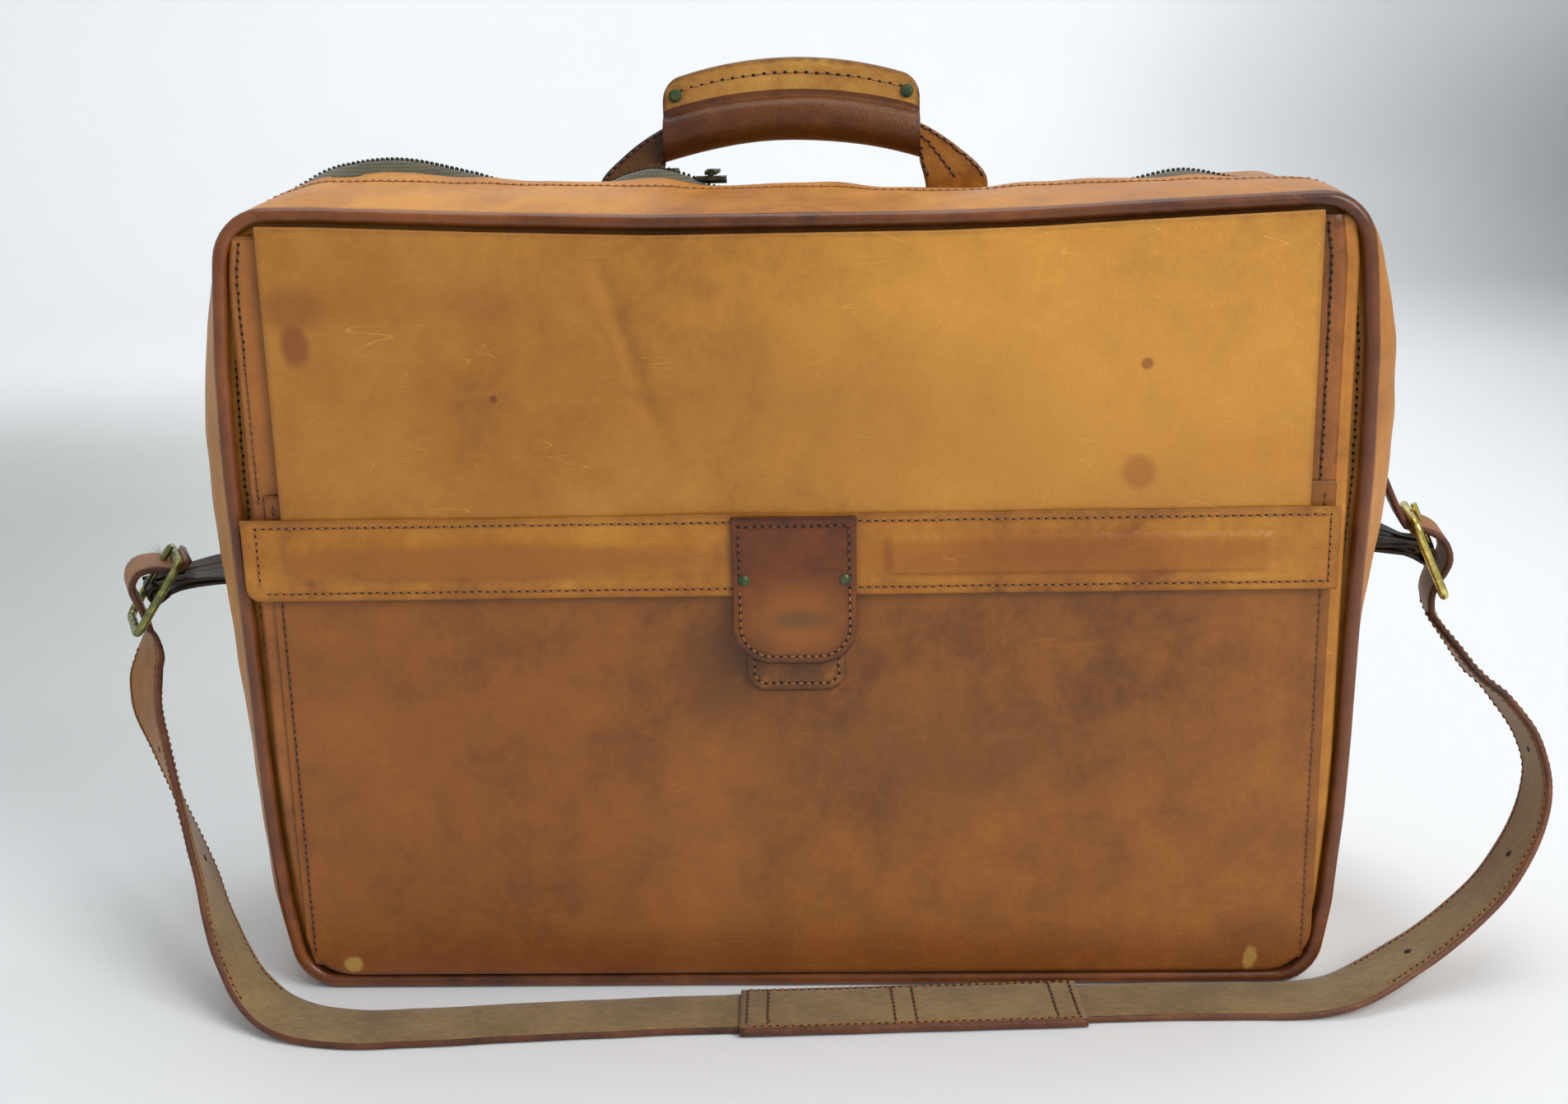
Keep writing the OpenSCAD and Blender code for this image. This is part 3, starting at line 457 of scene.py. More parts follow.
def shell(P, t, closed=False, flip=False, seams=()):
    """Skin t thick behind the outer grid P (nu, nv, 3), with rounded rims.
    Gives verts, faces, each vertex's distance to the rim and to the nearest seam line."""
    bulge, far_off = 0.4, 20.0
    nu, nv = P.shape[:2]
    N = normals(P, closed, flip)
    Q = P - t * N
    su, sv = lengths(P[:, nv // 2]), lengths(P[nu // 2])
    to_v = np.minimum(sv, sv[-1] - sv)[None, :] * np.ones((nu, 1))
    edge = to_v if closed else np.minimum(to_v, np.minimum(su, su[-1] - su)[:, None])
    seam = np.full((nu, nv), far_off)
    for line in seams:
        apart = P[:, :, None, :] - np.asarray(line)[None, None, ::2, :]
        seam = np.minimum(seam, np.min(np.linalg.norm(apart, axis=3), axis=2))
    verts = [P.reshape(-1, 3), Q.reshape(-1, 3)]
    edges = [edge.ravel(), edge.ravel()]
    seam_all = [seam.ravel(), np.full(nu * nv, far_off)]
    ids = np.arange(nu * nv).reshape(nu, nv)
    faces = []
    for i in range(nu if closed else nu - 1):
        k = (i + 1) % nu
        for j in range(nv - 1):
            a, b, c, d = ids[i, j], ids[k, j], ids[k, j + 1], ids[i, j + 1]
            quad = (a, b, c, d) if not flip else (d, c, b, a)
            faces.append(quad)
            faces.append(tuple(x + nu * nv for x in reversed(quad)))
    if closed:
        loops = [([(i, rim) for i in range(nu)], [(i, beside) for i in range(nu)], turned)
                 for rim, beside, turned in ((0, 1, flip), (nv - 1, nv - 2, not flip))]
    else:
        ring = ([(i, 0) for i in range(nu)] + [(nu - 1, j) for j in range(1, nv)]
                + [(i, nv - 1) for i in range(nu - 2, -1, -1)] + [(0, j) for j in range(nv - 2, 0, -1)])
        inner = [(min(max(i, 1), nu - 2), min(max(j, 1), nv - 2)) for i, j in ring]
        loops = [(ring, inner, flip)]
    base = 2 * nu * nv
    for ring, inner, turned in loops:
        m = len(ring)
        A = np.array([P[r] for r in ring])
        B = np.array([Q[r] for r in ring])
        out = unit(A - np.array([P[r] for r in inner]))
        mid = (A + B) / 2 + out * bulge * t
        verts.append(mid)
        edges.append(np.zeros(m))
        seam_all.append(np.full(m, far_off))
        for k in range(m):
            n = (k + 1) % m
            a, b = ids[ring[k]], ids[ring[n]]
            for quad in ((b, a, base + k, base + n), (base + n, base + k, a + nu * nv, b + nu * nv)):
                faces.append(tuple(reversed(quad)) if turned else quad)
        base += m
    return np.concatenate(verts), faces, np.concatenate(edges), np.concatenate(seam_all)


def tube(n, m, closed=False):
    """Faces round n rings of m points each."""
    return [(i * m + k, i * m + (k + 1) % m, (i + 1) % n * m + (k + 1) % m, (i + 1) % n * m + k)
            for i in range(n if closed else n - 1) for k in range(m)]


def merged(parts):
    """Several (verts, faces) as one."""
    faces, base = [], 0
    for v, f in parts:
        faces += [tuple(x + base for x in q) for q in f]
        base += len(v)
    return np.concatenate([v for v, f in parts]), faces


def outward(made):
    """Turns a closed piece's faces outwards."""
    held = bmesh.new()
    held.from_mesh(made.data)
    bmesh.ops.recalc_face_normals(held, faces=held.faces)
    held.to_mesh(made.data)
    held.free()
    return made


def smooth_path(points, pitch):
    """Catmull-Rom curve through points, resampled every pitch mm. Extra columns ride along."""
    p = np.asarray(points, float)
    p = np.vstack([2 * p[0] - p[1], p, 2 * p[-1] - p[-2]])
    out = []
    for i in range(1, len(p) - 2):
        a, b, c, d = p[i - 1:i + 3]
        for t in np.linspace(0, 1, 12, endpoint=False):
            out.append(0.5 * (2 * b + (c - a) * t + (2 * a - 5 * b + 4 * c - d) * t * t
                              + (3 * b - a - 3 * c + d) * t ** 3))
    out.append(p[-2])
    return resample(np.array(out), pitch)


def columns_at(at, s, p):
    """Columns of p, given at the lengths s, read at the lengths at."""
    return np.stack([np.interp(at, s, p[:, k]) for k in range(p.shape[1])], axis=1)


def resample(p, pitch):
    s = lengths(p[:, :3])
    return columns_at(np.linspace(0, s[-1], max(2, int(round(s[-1] / pitch))) + 1), s, p)


def wobble(x, seed, wave, amount):
    """Smooth repeatable undulation with waves around wave mm long."""
    rng = np.random.default_rng(seed)
    total = np.zeros_like(np.asarray(x, float))
    for k in range(5):
        length = wave * (0.6 + 0.35 * k)
        phase = rng.uniform(0, 6.28)
        total = total + np.sin(np.asarray(x) * 2 * math.pi / length + phase) * rng.uniform(0.5, 1)
    return total * amount / 2.2


def bell(d):
    return np.exp(-np.asarray(d, float) ** 2)


def step(x, a, b):
    """Smooth rise from 0 at a to 1 at b."""
    t = np.clip((np.asarray(x, float) - a) / (b - a), 0, 1)
    return t * t * (3 - 2 * t)


def lookup(y, table):
    """Table value at y, averaged over 8 mm so that its corners are soft."""
    xs, ys = zip(*table)
    return sum(np.interp(np.asarray(y, float) + d, xs, ys) for d in (-4, -2, 0, 2, 4)) / 5


# ---------------------------------------------------------------- stitches
SEWN = {}


def capsule(n=6):
    """One stitch of unit size: a rounded bead whose ends dip into the leather."""
    rows = [(-0.5, 0.25, -0.55), (-0.36, 0.8, 0.0), (0, 1.0, 0.35), (0.36, 0.8, 0.0), (0.5, 0.25, -0.55)]
    pts = [(x, r * math.cos(a), r * math.sin(a) + z) for x, r, z in rows
           for a in (2 * math.pi * k / n for k in range(n))]
    return np.array(pts), tube(5, n) + [tuple(range(n))[::-1], tuple(range(4 * n, 5 * n))]


CAPSULE = capsule()
# One needle hole of unit size, drawn as a dark disc: painted shade inside the hole
DOT = (np.array([(0, 0, 1)] + [(math.cos(a), math.sin(a), 0) for a in np.arange(8) * math.pi / 4]
                + [(0, 0, -1)]),
       [(0, 1 + k, 1 + (k + 1) % 8) for k in range(8)] + [(9, 1 + (k + 1) % 8, 1 + k) for k in range(8)])


def sew(body, path, normal, pitch=3.3, material="thread", width=0.46):
    """Row of stitches with needle holes along path; normal is one vector or one per point."""
    path = np.asarray(path, float)
    nrm = np.broadcast_to(np.asarray(normal, float), path.shape)
    lift, reach = 0.2, 0.6
    s = lengths(path)
    count = max(2, int(round(s[-1] / pitch)))
    at = (np.arange(count) + 0.5) * s[-1] / count
    mid = columns_at(at, s, path)
    nn = unit(columns_at(at, s, nrm))
    d = unit(columns_at(np.minimum(at + reach, s[-1]), s, path)
             - columns_at(np.maximum(at - reach, 0), s, path))
    side = unit(np.cross(nn, d))
    nn = np.cross(d, side)
    rng = np.random.default_rng(int(abs(path).sum()) % 9973)
    gap = s[-1] / count
    for i in range(count):
        yaw_i = rng.normal(0, 0.07)
        dd = d[i] * math.cos(yaw_i) + side[i] * math.sin(yaw_i)
        basis = np.stack([dd, np.cross(nn[i], dd), nn[i]])
        size = np.array([gap * 0.68, width, width]) * rng.uniform(0.9, 1.1)
        SEWN.setdefault((body, material), []).append(
            (CAPSULE[0] * size @ basis + mid[i] + nn[i] * lift, CAPSULE[1]))
        # The needle hole is a dark disc: painted shade inside the hole
        hole = mid[i] + dd * gap * 0.5
        SEWN.setdefault((body, "hole"), []).append(
            (DOT[0] * np.array([0.95, 0.68, 0.2]) @ basis + hole, DOT[1]))


def sewn_pieces():
    """One mesh per body and thread, from all the rows sewn."""
    for (body, material), parts in SEWN.items():
        slot = {"handle": "handle_leather", "shoulder_strap": "strap_leather"}.get(body, "case_leather")
        put(f"{material}_{body}", *merged(parts), body, material, slot)


# ---------------------------------------------------------------- case outline
def arc(cx, cz, r, a0, a1, n=12):
    a = np.radians(np.linspace(a0, a1, n + 1))
    return np.stack([cx + r * np.cos(a), cz + r * np.sin(a)], 1)


def arch(g, z0):
    """Sewn outline g mm further in, up one side, over the top and down to z0."""
    x, z = HALF_W - CORNER_R, BODY_H - CORNER_R
    p = np.vstack([[[HALF_W - g, z0]], arc(x, z, CORNER_R - g, 0, 90), arc(-x, z, CORNER_R - g, 90, 180),
                   [[g - HALF_W, z0]]])
    return resample(p, SKIN_STEP)


def sill(g):
    """The rest of the outline, under the case."""
    x = HALF_W - LOWER_R
    p = np.vstack([[[g - HALF_W, SPLIT_Z]], arc(-x, LOWER_R, LOWER_R - g, 180, 270),
                   arc(x, LOWER_R, LOWER_R - g, 270, 360), [[HALF_W - g, SPLIT_Z]]])
    return resample(p, SKIN_STEP)


def ring(g):
    return np.vstack([arch(g, SPLIT_Z), sill(g)[1:-1]])


def shaped(p, y):
    """Point(s) (x, z) of the outline at depth y, bowed, sagged and puffed."""
    p = np.asarray(p, float)
    x, z = p[..., 0], p[..., 1]
    y = np.broadcast_to(np.asarray(y, float), x.shape)
    bow = lookup(z, SIDE_OUTLINE)
    share = np.where(x < 0, lookup(z, LEFT_SWELL), lookup(z, RIGHT_SWELL))
    rise = lookup(y, TOP_PROFILE) * lookup(x, TOP_SWELL)
    sag = TOP_SAG * lookup(x, SAG_SHARE)
    return np.stack([x * (1 + (bow + share * lookup(y, SIDE_PROFILE)) / HALF_W), y,
                     z * (1 + (rise - sag) / BODY_H)], axis=-1)


def zip_lift(x, y):
    """How far the slack zip stands up above its place, along the top."""
    rise = sum(height * bell((x - at) / width) for height, at, width in ZIP_SLACK)
    return rise * bell((y - ZIP_Y) / ZIP_SLACK_DEPTH)


def near_top(z):
    return step(z, BODY_H - 30, BODY_H - 8)


def zip_sink(P):
    """The chain lies a little below the hems wherever the zip is not slack."""
    tight = 1 - np.minimum(1, zip_lift(P[..., 0], ZIP_Y) / 3)
    P[..., 2] += (zip_lift(P[..., 0], P[..., 1]) - CHAIN_SINK * tight) * near_top(P[..., 2])


def gusset(name, body, path, depths, t, material, seed, replaces, hems=()):
    """Curved strip of case leather along the outline, with slack waves and stitched hems."""
    depths = np.asarray(depths, float)
    P = np.stack([shaped(path, y) for y in depths], axis=1)
    N = normals(P, flip=True)
    s = lengths(P[:, 0])
    top = near_top(P[:, :, 2])
    slack = (wobble(s[:, None] + 0.6 * depths[None, :], seed, 95, 0.55)
             + wobble(s[:, None], seed + 1, 41, 0.3))
    edge_free = sum((bell((depths - h) / 9) for h in hems), 0 * depths)
    slack = slack * np.clip((PIPING_Y - np.abs(depths)) / 16, 0, 1)[None, :]
    slack = slack + wobble(s, seed + 2, 62, 0.9)[:, None] * edge_free[None, :] * top
    P = P + N * slack[:, :, None]
    P[:, :, 2] += zip_lift(P[:, :, 0], P[:, :, 1]) * top * 0.8
    lines = []
    for h in hems:
        inset = FRONT_HEM if h < ZIP_Y else REAR_HEM
        j = int(np.argmin(np.abs(depths - (h - inset))))
        P[:, j] -= N[:, j] * 0.25
        lines.append((P[:, j], N[:, j]))
    v, f, e, m = shell(P, t, flip=True, seams=[a for a, b in lines])
    put(name, v, f, body, material, "case_leather", replaces, e, m)
    for a, b in lines:
        sew(body, a, b)


# ---------------------------------------------------------------- case
front_depths = [-66.2, -64.6, -63, -61, -58, -54, -50, -46, -42, -38, -34, -30, -27, -25, -23.6, -23,
                -22.4, -21.2, FRONT_EDGE]
rear_depths = [REAR_EDGE, 1.2, 2.4, 3, 3.6, 5, 8, 12, 16, 20, 25, 30, 36, 42, 48, 53, 58, 61, 63, 64.6, 66.2]
for half, low, seed, depths, free_edge in (("front", 0.5, 3, front_depths, FRONT_EDGE),
                                           ("rear", 0.3, 11, rear_depths, REAR_EDGE)):
    gusset(f"{half}_gusset_skin", f"{half}_shell", arch(0, SPLIT_Z + low), depths, LEATHER, "case", seed,
           [f"{half}_gusset"], [free_edge])
for half, seed, depths in (("front", 3, [-60.5, -56, -50, -44, -38, -32]),
                           ("rear", 11, [10, 16, 24, 33, 42, 51, 60.5])):
    gusset(f"{half}_lining_sleeve", f"{half}_shell", arch(LEATHER + 0.5, SPLIT_Z + 1), depths, 0.8, "lining",
           seed, [f"{half}_gusset_lining"])
gusset("bottom_gusset_skin", "rear_shell", sill(0), np.linspace(-62.6, 66.2, 27), LEATHER, "case", 19,
       ["bottom_gusset"])


def welt(name, body, y, seed, replaces):
    """Round leather-covered cord along the seam, a little uneven."""
    path = shaped(ring(PIPING_INSET), y)
    t = unit(grad(path, 0, True))
    w = np.broadcast_to([0.0, 1.0, 0.0], t.shape)
    v = np.cross(t, w)
    s = lengths(path)
    count = 16
    rows = []
    for k in range(count):
        a = 2 * math.pi * k / count
        r = PIPING_R * (1 + 0.02 * np.sin(s / 37 + k) + 0.015 * np.sin(s / 11.3 + 2 * k + seed))
        rows.append(path + r[:, None] * (w * math.cos(a) + v * math.sin(a)))
    P = np.stack(rows, axis=1)
    outward(put(name, P.reshape(-1, 3), tube(len(path), count, closed=True), body, "piping",
                "piping_leather", replaces))


welt("front_piping_cord", "front_shell", -PIPING_Y, 1, ["front_piping"])
welt("rear_piping_cord", "rear_shell", PIPING_Y, 2, ["rear_piping"])


def cushion_panel(name, body, y_mid, y_face, thick, inset, material, slot, replaces, puff, seed):
    """Panel filling the outline, crowned by puff mm; faces away from the case."""
    rim = shaped(ring(inset), y_mid)
    centre = np.array([0.0, y_mid, BODY_H / 2])
    shares = np.array([1, 0.985, 0.96, 0.93, 0.88, 0.8, 0.7, 0.6, 0.5, 0.4, 0.3, 0.2, 0.1, 0.03, 0.001])
    side = math.copysign(1, y_face)
    P = []
    for share in shares:
        row = centre + (rim - centre) * share
        crown = puff * (1 - share ** 4) + wobble(row[:, 0] + row[:, 2], seed, 150, 0.5) * (1 - share ** 6)
        row[:, 1] = y_face + side * crown
        P.append(row)
    P = np.stack(P, axis=1)
    flip = normals(P, True)[0, 3, 1] * side < 0
    v, f, e, m = shell(P, thick, closed=True, flip=flip)
    n, k = P.shape[:2]
    cap = [i * k + k - 1 for i in range(n)]
    f += [tuple(cap), tuple(n * k + c for c in reversed(cap))]
    e[np.hypot(v[:, 0], v[:, 2] - BODY_H / 2) < 60] = 20  # the capped middle is no edge
    line = shaped(ring(inset + 4.5), y_face)
    line[:, 1] = y_face + side * 0.06 * puff
    sew(body, line[np.r_[:len(line), 0]], (0, side, 0))
    outward(put(name, v, f, body, material, slot, replaces, e, m))


cushion_panel("back_panel_skin", "rear_shell", 65, 65.4, 1.4, 7.4, "case", "case_leather",
              ["back_panel"], 2.2, 5)
cushion_panel("front_panel_skin", "front_shell", -62.1, -62.7, 1.2, 5.2, "case", "case_leather",
              ["front_panel"], 0.0, 6)


# ---------------------------------------------------------------- zip
def zip_tape(half, depths):
    """Woven tape of one half, under the hem and up to the chain."""
    inset = thick = 0.9
    P = np.stack([shaped(arch(inset, SPLIT_Z + 0.5), y) for y in depths], axis=1)
    zip_sink(P)
    v, f, e, m = shell(P, thick, flip=True)
    put(f"{half}_tape", v, f, f"{half}_shell", "tape", "zip_tape", [f"{half}_zip_tape"], e, m)


zip_tape("front", [-21.5, -20, -18, -16, -14, -12.2])
zip_tape("rear", [-7.8, -6, -4, -2, 0, 1.5])


def teeth(half, side):
    """Row of cast zip teeth standing on the tape's edge."""
    path = resample(arch(0.3, SPLIT_Z + 1), 2.1)
    y0 = ZIP_Y + side * 1.2
    at = shaped(path, y0)
    zip_sink(at)
    t = unit(np.gradient(at, axis=0))
    w = np.array([0.0, 1.0, 0.0])
    n = unit(np.cross(np.broadcast_to(w, t.shape), t))
    profile = np.array([(-1, -1), (1, -1), (1, 0.4), (0.5, 1), (-0.5, 1), (-1, 0.4)]) * [0.55, 0.9]
    tooth = tube(4, 6) + [(5, 4, 3, 2, 1, 0), (18, 19, 20, 21, 22, 23)]
    verts, faces = merged([
        ([at[i] + w * y * side * -1 + t[i] * a * k + n[i] * (b * k - 0.4)
          for y, k in ((-1.0, 0.85), (-0.6, 1.0), (0.6, 1.0), (1.0, 0.7)) for a, b in profile], tooth)
        for i in range(len(at))])
    outward(put(f"{half}_teeth", verts, faces, f"{half}_shell", "zip_metal", "zip_metal",
                [f"{half}_zip_teeth"], smooth=False))


teeth("front", -1)
teeth("rear", 1)


# ---------------------------------------------------------------- front layers
def front_sheet(name, body, xs, top, bottom, y_of, t, material, slot, replaces, seams=(), rows=60,
                ride=True):
    """Leather sheet seen from the front: columns at xs between the heights bottom(x) and top(x)."""
    xs = np.asarray(xs, float)
    share = np.unique(np.concatenate([np.linspace(0, 1, rows), [0.006, 0.014, 0.986, 0.994]]))
    zt, zb = top(xs), bottom(xs)
    Z = zb[:, None] + (zt - zb)[:, None] * share[None, :]
    X = np.broadcast_to(xs[:, None], Z.shape)
    P = np.stack([X, y_of(X, Z), Z], axis=2)
    v, f, e, m = shell(P, t, seams=seams)
    return outward(put(name, v, f, body, material, slot, replaces, e, m, ride=ride))


def columns(x0, x1, pitch=3.0, r=0.0):
    """Column positions, closer together in rounded corners and along both edges."""
    core = np.linspace(x0 + max(r, 3), x1 - max(r, 3), int((x1 - x0) / pitch))
    turn = 1 - np.cos(np.linspace(0, math.pi / 2, 9))
    near = x0 + max(r, 3) * turn
    far = x1 - max(r, 3) * turn[::-1]
    return np.unique(np.round(np.concatenate([near, core, far]), 4))


def round_foot(x0, x1, z0, r):
    """Height of a lower edge at z0 between x0 and x1, with corners of radius r."""
    def foot(x):
        d = np.maximum(0, np.maximum(x0 + r - x, x - (x1 - r)))
        return z0 + r - np.sqrt(np.maximum(0, r * r - d * d))
    return foot


def flat_at(z):
    return lambda x: np.full_like(np.asarray(x, float), z)


def top_line(base):
    """Height of the flap's upper edge, which sags with the case."""
    return lambda x: base - TOP_SAG * lookup(x, SAG_SHARE)


def groove(x, z, lines, depth=0.25, width=1.0):
    """Dip along straight stitch lines ((x0, z0), (x1, z1))."""
    total = np.zeros_like(x)
    for (ax, az), (bx, bz) in lines:
        dx, dz = bx - ax, bz - az
        t = np.clip(((x - ax) * dx + (z - az) * dz) / (dx * dx + dz * dz), 0, 1)
        total = np.maximum(total, bell(np.hypot(x - ax - t * dx, z - az - t * dz) / width))
    return total * depth


def line3(y_of, points, pitch=1.5):
    """Points (x, z) joined by straight lines and dropped onto a sheet's face."""
    p = resample(np.asarray(points, float), pitch)
    return np.stack([p[:, 0], y_of(p[:, 0], p[:, 1]), p[:, 1]], axis=1)


FRONT = (0.0, -1.0, 0.0)
POCKET_L, POCKET_R, POCKET_LOW, POCKET_TOP = -220.0, 221.0, 7.5, 226.0
POCKET_MID, POCKET_HALF = (POCKET_L + POCKET_R) / 2, (POCKET_R - POCKET_L) / 2
pocket_seams = [((-216.6, 16), (-216.6, 222)), ((217.0, 16), (217.0, 222))]


def pocket_y(x, z):
    """Depth of the pocket's face: puffed, with two dents and a fold beside the middle."""
    puff = 1.2 * (1 - ((x - POCKET_MID) / POCKET_HALF) ** 4) * (1 - ((z - 112) / 118) ** 4)
    dent = (2.2 * bell((x + 34) / 17) * bell((z - 152) / 17)
            + 1.0 * bell((x - 62) / 30) * bell((z - 120) / 14))
    fold = 0.9 * bell((x + 26 + 0.2 * (z - 90)) / 10) * bell((z - 85) / 48)
    wave = wobble(x + 0.5 * z, 31, 160, 0.35) + wobble(z - 0.3 * x, 32, 90, 0.25)
    inside = np.minimum(1, np.minimum(POCKET_HALF - np.abs(x - POCKET_MID), z - POCKET_LOW) / 16).clip(0)
    relief = puff * 0.2 - dent * 0.6 - fold * 0.5 + wave * 0.4
    return -69.9 - relief * inside * 0.55 + groove(x, z, pocket_seams)


pocket_lines = [line3(pocket_y, seam) for seam in pocket_seams]
front_sheet("pocket_panel_skin", "front_shell", columns(POCKET_L, POCKET_R, 3, 20), flat_at(POCKET_TOP),
            round_foot(POCKET_L, POCKET_R, POCKET_LOW, 20), pocket_y, 1.7, "pocket", "pocket_leather",
            ["pocket_panel"], pocket_lines, rows=90)
for path in pocket_lines:
    sew("front_shell", path, FRONT, material="thread_dark")


def inner_edge(z):
    """Distance from the middle to the inner side of the piping at height z."""
    return shaped(np.stack([np.full_like(z, HALF_W - 2 * PIPING_R), z], 1), -PIPING_Y)[:, 0]


def strip_edge(z):
    """Outer edge of the side strip at height z, just inside the piping."""
    return np.minimum(227.0, inner_edge(z) - 0.8)


def pocket_side(tag, s):
    """Folded strip along the side of the pocket and flap, with a paler margin beside the piping."""
    zs = np.linspace(12, 333, 108)
    edge = strip_edge(zs)
    margin = 5.7 if s > 0 else 0.6
    across = np.array([0, 0.1, 0.3, 0.6, 0.9, 1.0])
    P = []
    for x1, z in zip(edge, zs):
        fold = x1 - margin
        xs = np.concatenate([[x1, x1], x1 - margin * across[1:5], [fold, fold - 0.8, fold - 2],
                             np.linspace(fold - 4, 206, 6)])
        ys = np.concatenate([[-63.2, -65.0], [-66.4, -66.9, -67.0, -66.9], [-67.3, -68.6, -68.95],
                             [-68.9, -68.7, -68.4, -68.2, -68.1, -68.0]])
        P.append(np.stack([s * xs, ys + 0.12 * math.sin(z / 23), np.full(len(xs), z)], 1))
    P = np.array(P)
    flip = normals(P)[4, 9, 1] > 0
    v, f, e, m = shell(P, 1.0, flip=flip)
    picks = [1 if s > 0 and np.mean([abs(v[i][0]) for i in q]) > np.interp(
        np.mean([v[i][2] for i in q]), zs, edge - margin + 0.4) else 0 for q in f]
    outward(put(f"{tag}_pocket_fold", v, f, "front_shell", ["strip", "case"], "pocket_leather",
                [f"{tag}_pocket_side"], e, m, picks=picks))


pocket_side("left", -1)
pocket_side("right", 1)
for side, inset in ((-1, 4.2), (1, 12.0)):
    zs = np.linspace(222, 330, 60)
    sew("front_shell", np.stack([side * (strip_edge(zs) - inset), np.full(60, -68.9), zs], 1), FRONT,
        material="thread_dark")

# ---------------------------------------------------------------- flap, band and closure
FLAP_L, FLAP_R, FLAP_TOP = -213.0, 210.5, 337.0
BAND_L, BAND_R, BAND_TOP, BAND_LOW = -230.0, 222.5, 216.0, 182.0
TAB_HALF, TAB_TOP, TAB_LOW, TAB_R = 25.7, 215.0, 153.0, 16.0


def flap_y(x, z):
    """Depth of the flap's face: a soft belly and a slanting crease at the upper left."""
    slant = x + 76 - (318 - z) * 0.32 + wobble(z, 44, 40, 1.0)
    crease = 1.5 * bell(slant / 3.5) * step(z, 245, 262) * step(z, 327, 312)
    belly = 0.9 * bell((x + 60) / 60) * bell((z - 275) / 34)
    wave = wobble(x, 41, 130, 0.35) + wobble(z + 0.4 * x, 42, 70, 0.25)
    sides = np.minimum(x - FLAP_L, FLAP_R - x)
    hold = np.minimum(1, np.minimum(sides, np.minimum(FLAP_TOP - 6 - z, z - BAND_TOP)) / 14).clip(0)
    return -71.95 - (belly + wave * 0.6 + 0.4 - crease * 1.2) * hold


front_sheet("flap_skin", "flap", columns(FLAP_L, FLAP_R, 2.6), top_line(FLAP_TOP), flat_at(183.5),
            flap_y, 1.4, "flap", "flap_leather", ["front_flap"], rows=80)

sewn_r, sewn_l, sewn_top, sewn_low = BAND_R - 3.4, BAND_L + 6, 213.2, 184.9
band_rows = [((sewn_l, sewn_top), (sewn_r, sewn_top)), ((sewn_r, sewn_top), (sewn_r, sewn_low)),
             ((sewn_r, sewn_low), (BAND_L + 9, sewn_low)), ((sewn_l, 188), (sewn_l, sewn_top))]


def bar_rise(x, z, x0, x1, height, soft):
    """Print of the stiffener behind the band, from x0 to x1."""
    inside = step(x, x0 - soft, x0 + soft) * step(x, x1 + soft, x1 - soft)
    return height * inside * step(z, 190.5 - soft, 190.5 + soft) * step(z, 206 + soft, 206 - soft)


def band_y(x, z):
    bars = bar_rise(x, z, 39, 195.5, 1.6, 1.0) + bar_rise(x, z, -212, -39, 1.1, 1.8)
    return -73.7 - bars - wobble(x, 51, 60, 0.18) + groove(x, z, band_rows, 0.3, 1.1)


band_lines = [line3(band_y, row) for row in band_rows]
front_sheet("flap_band_skin", "flap", columns(BAND_L, BAND_R, 1.9, 6),
            lambda x: BAND_TOP + wobble(x, 52, 120, 0.3), round_foot(BAND_L, BAND_R + 6, BAND_LOW, 6),
            band_y, 1.5, "band", "flap_leather", ["flap_band", "left_stiffener", "right_stiffener"],
            band_lines, rows=34)
for path in band_lines:
    sew("flap", path, FRONT)


def around(half, top, low, r, inset, open_top=False):
    """Stitch path inside a tongue's outline, from the upper left down and round."""
    h, rr = half - inset, max(r - inset, 2)
    ends = [(-h, top - inset), (h, top - inset)]
    p = [ends[0], *arc(-h + rr, low + inset + rr, rr, 180, 270), *arc(h - rr, low + inset + rr, rr, 270, 360),
         ends[1]]
    return p if open_top else p + ends[:1]


def tab_y(x, z):
    dome = 0.9 * (1 - (x / TAB_HALF) ** 2).clip(0) ** 0.5 * step(z, 150, 170)
    lip = 0.7 * bell((z - 158) / 10)
    return -75.6 - dome * 0.8 - lip * 0.5


tab_path = line3(tab_y, around(TAB_HALF, TAB_TOP, TAB_LOW, TAB_R, 3.0))
tab = front_sheet("closure_tab_skin", "flap", columns(-TAB_HALF, TAB_HALF, 1.5, TAB_R), flat_at(TAB_TOP),
                  round_foot(-TAB_HALF, TAB_HALF, TAB_LOW, TAB_R), tab_y, 1.7, "tab", "dark_leather",
                  ["closure_tab", "closure_tongue"], [tab_path], rows=50, ride=False)
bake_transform(tab)
upper = tab_path[tab_path[:, 2] >= 187]
lower = tab_path[tab_path[:, 2] < 186]
cross_row = upper[:, 2] >= 211.9
for row in (~cross_row & (upper[:, 0] < -20), ~cross_row & (upper[:, 0] > 20), cross_row):
    sew("flap", upper[row], FRONT, material="thread_dark")
sew("closure_tongue", lower, FRONT)


def base_y(x, z):
    return -71.75 - 0.25 * bell(x / 12)


base_path = line3(base_y, around(20.5, 176, 140, 8, 2.8, open_top=True))
front_sheet("closure_base_skin", "front_shell", columns(-20.5, 20.5, 1.6, 8), flat_at(176.0),
            round_foot(-20.5, 20.5, 140, 8), base_y, 1.7, "base", "pocket_leather", ["closure_base"],
            [base_path], rows=30)
sew("front_shell", base_path, FRONT)


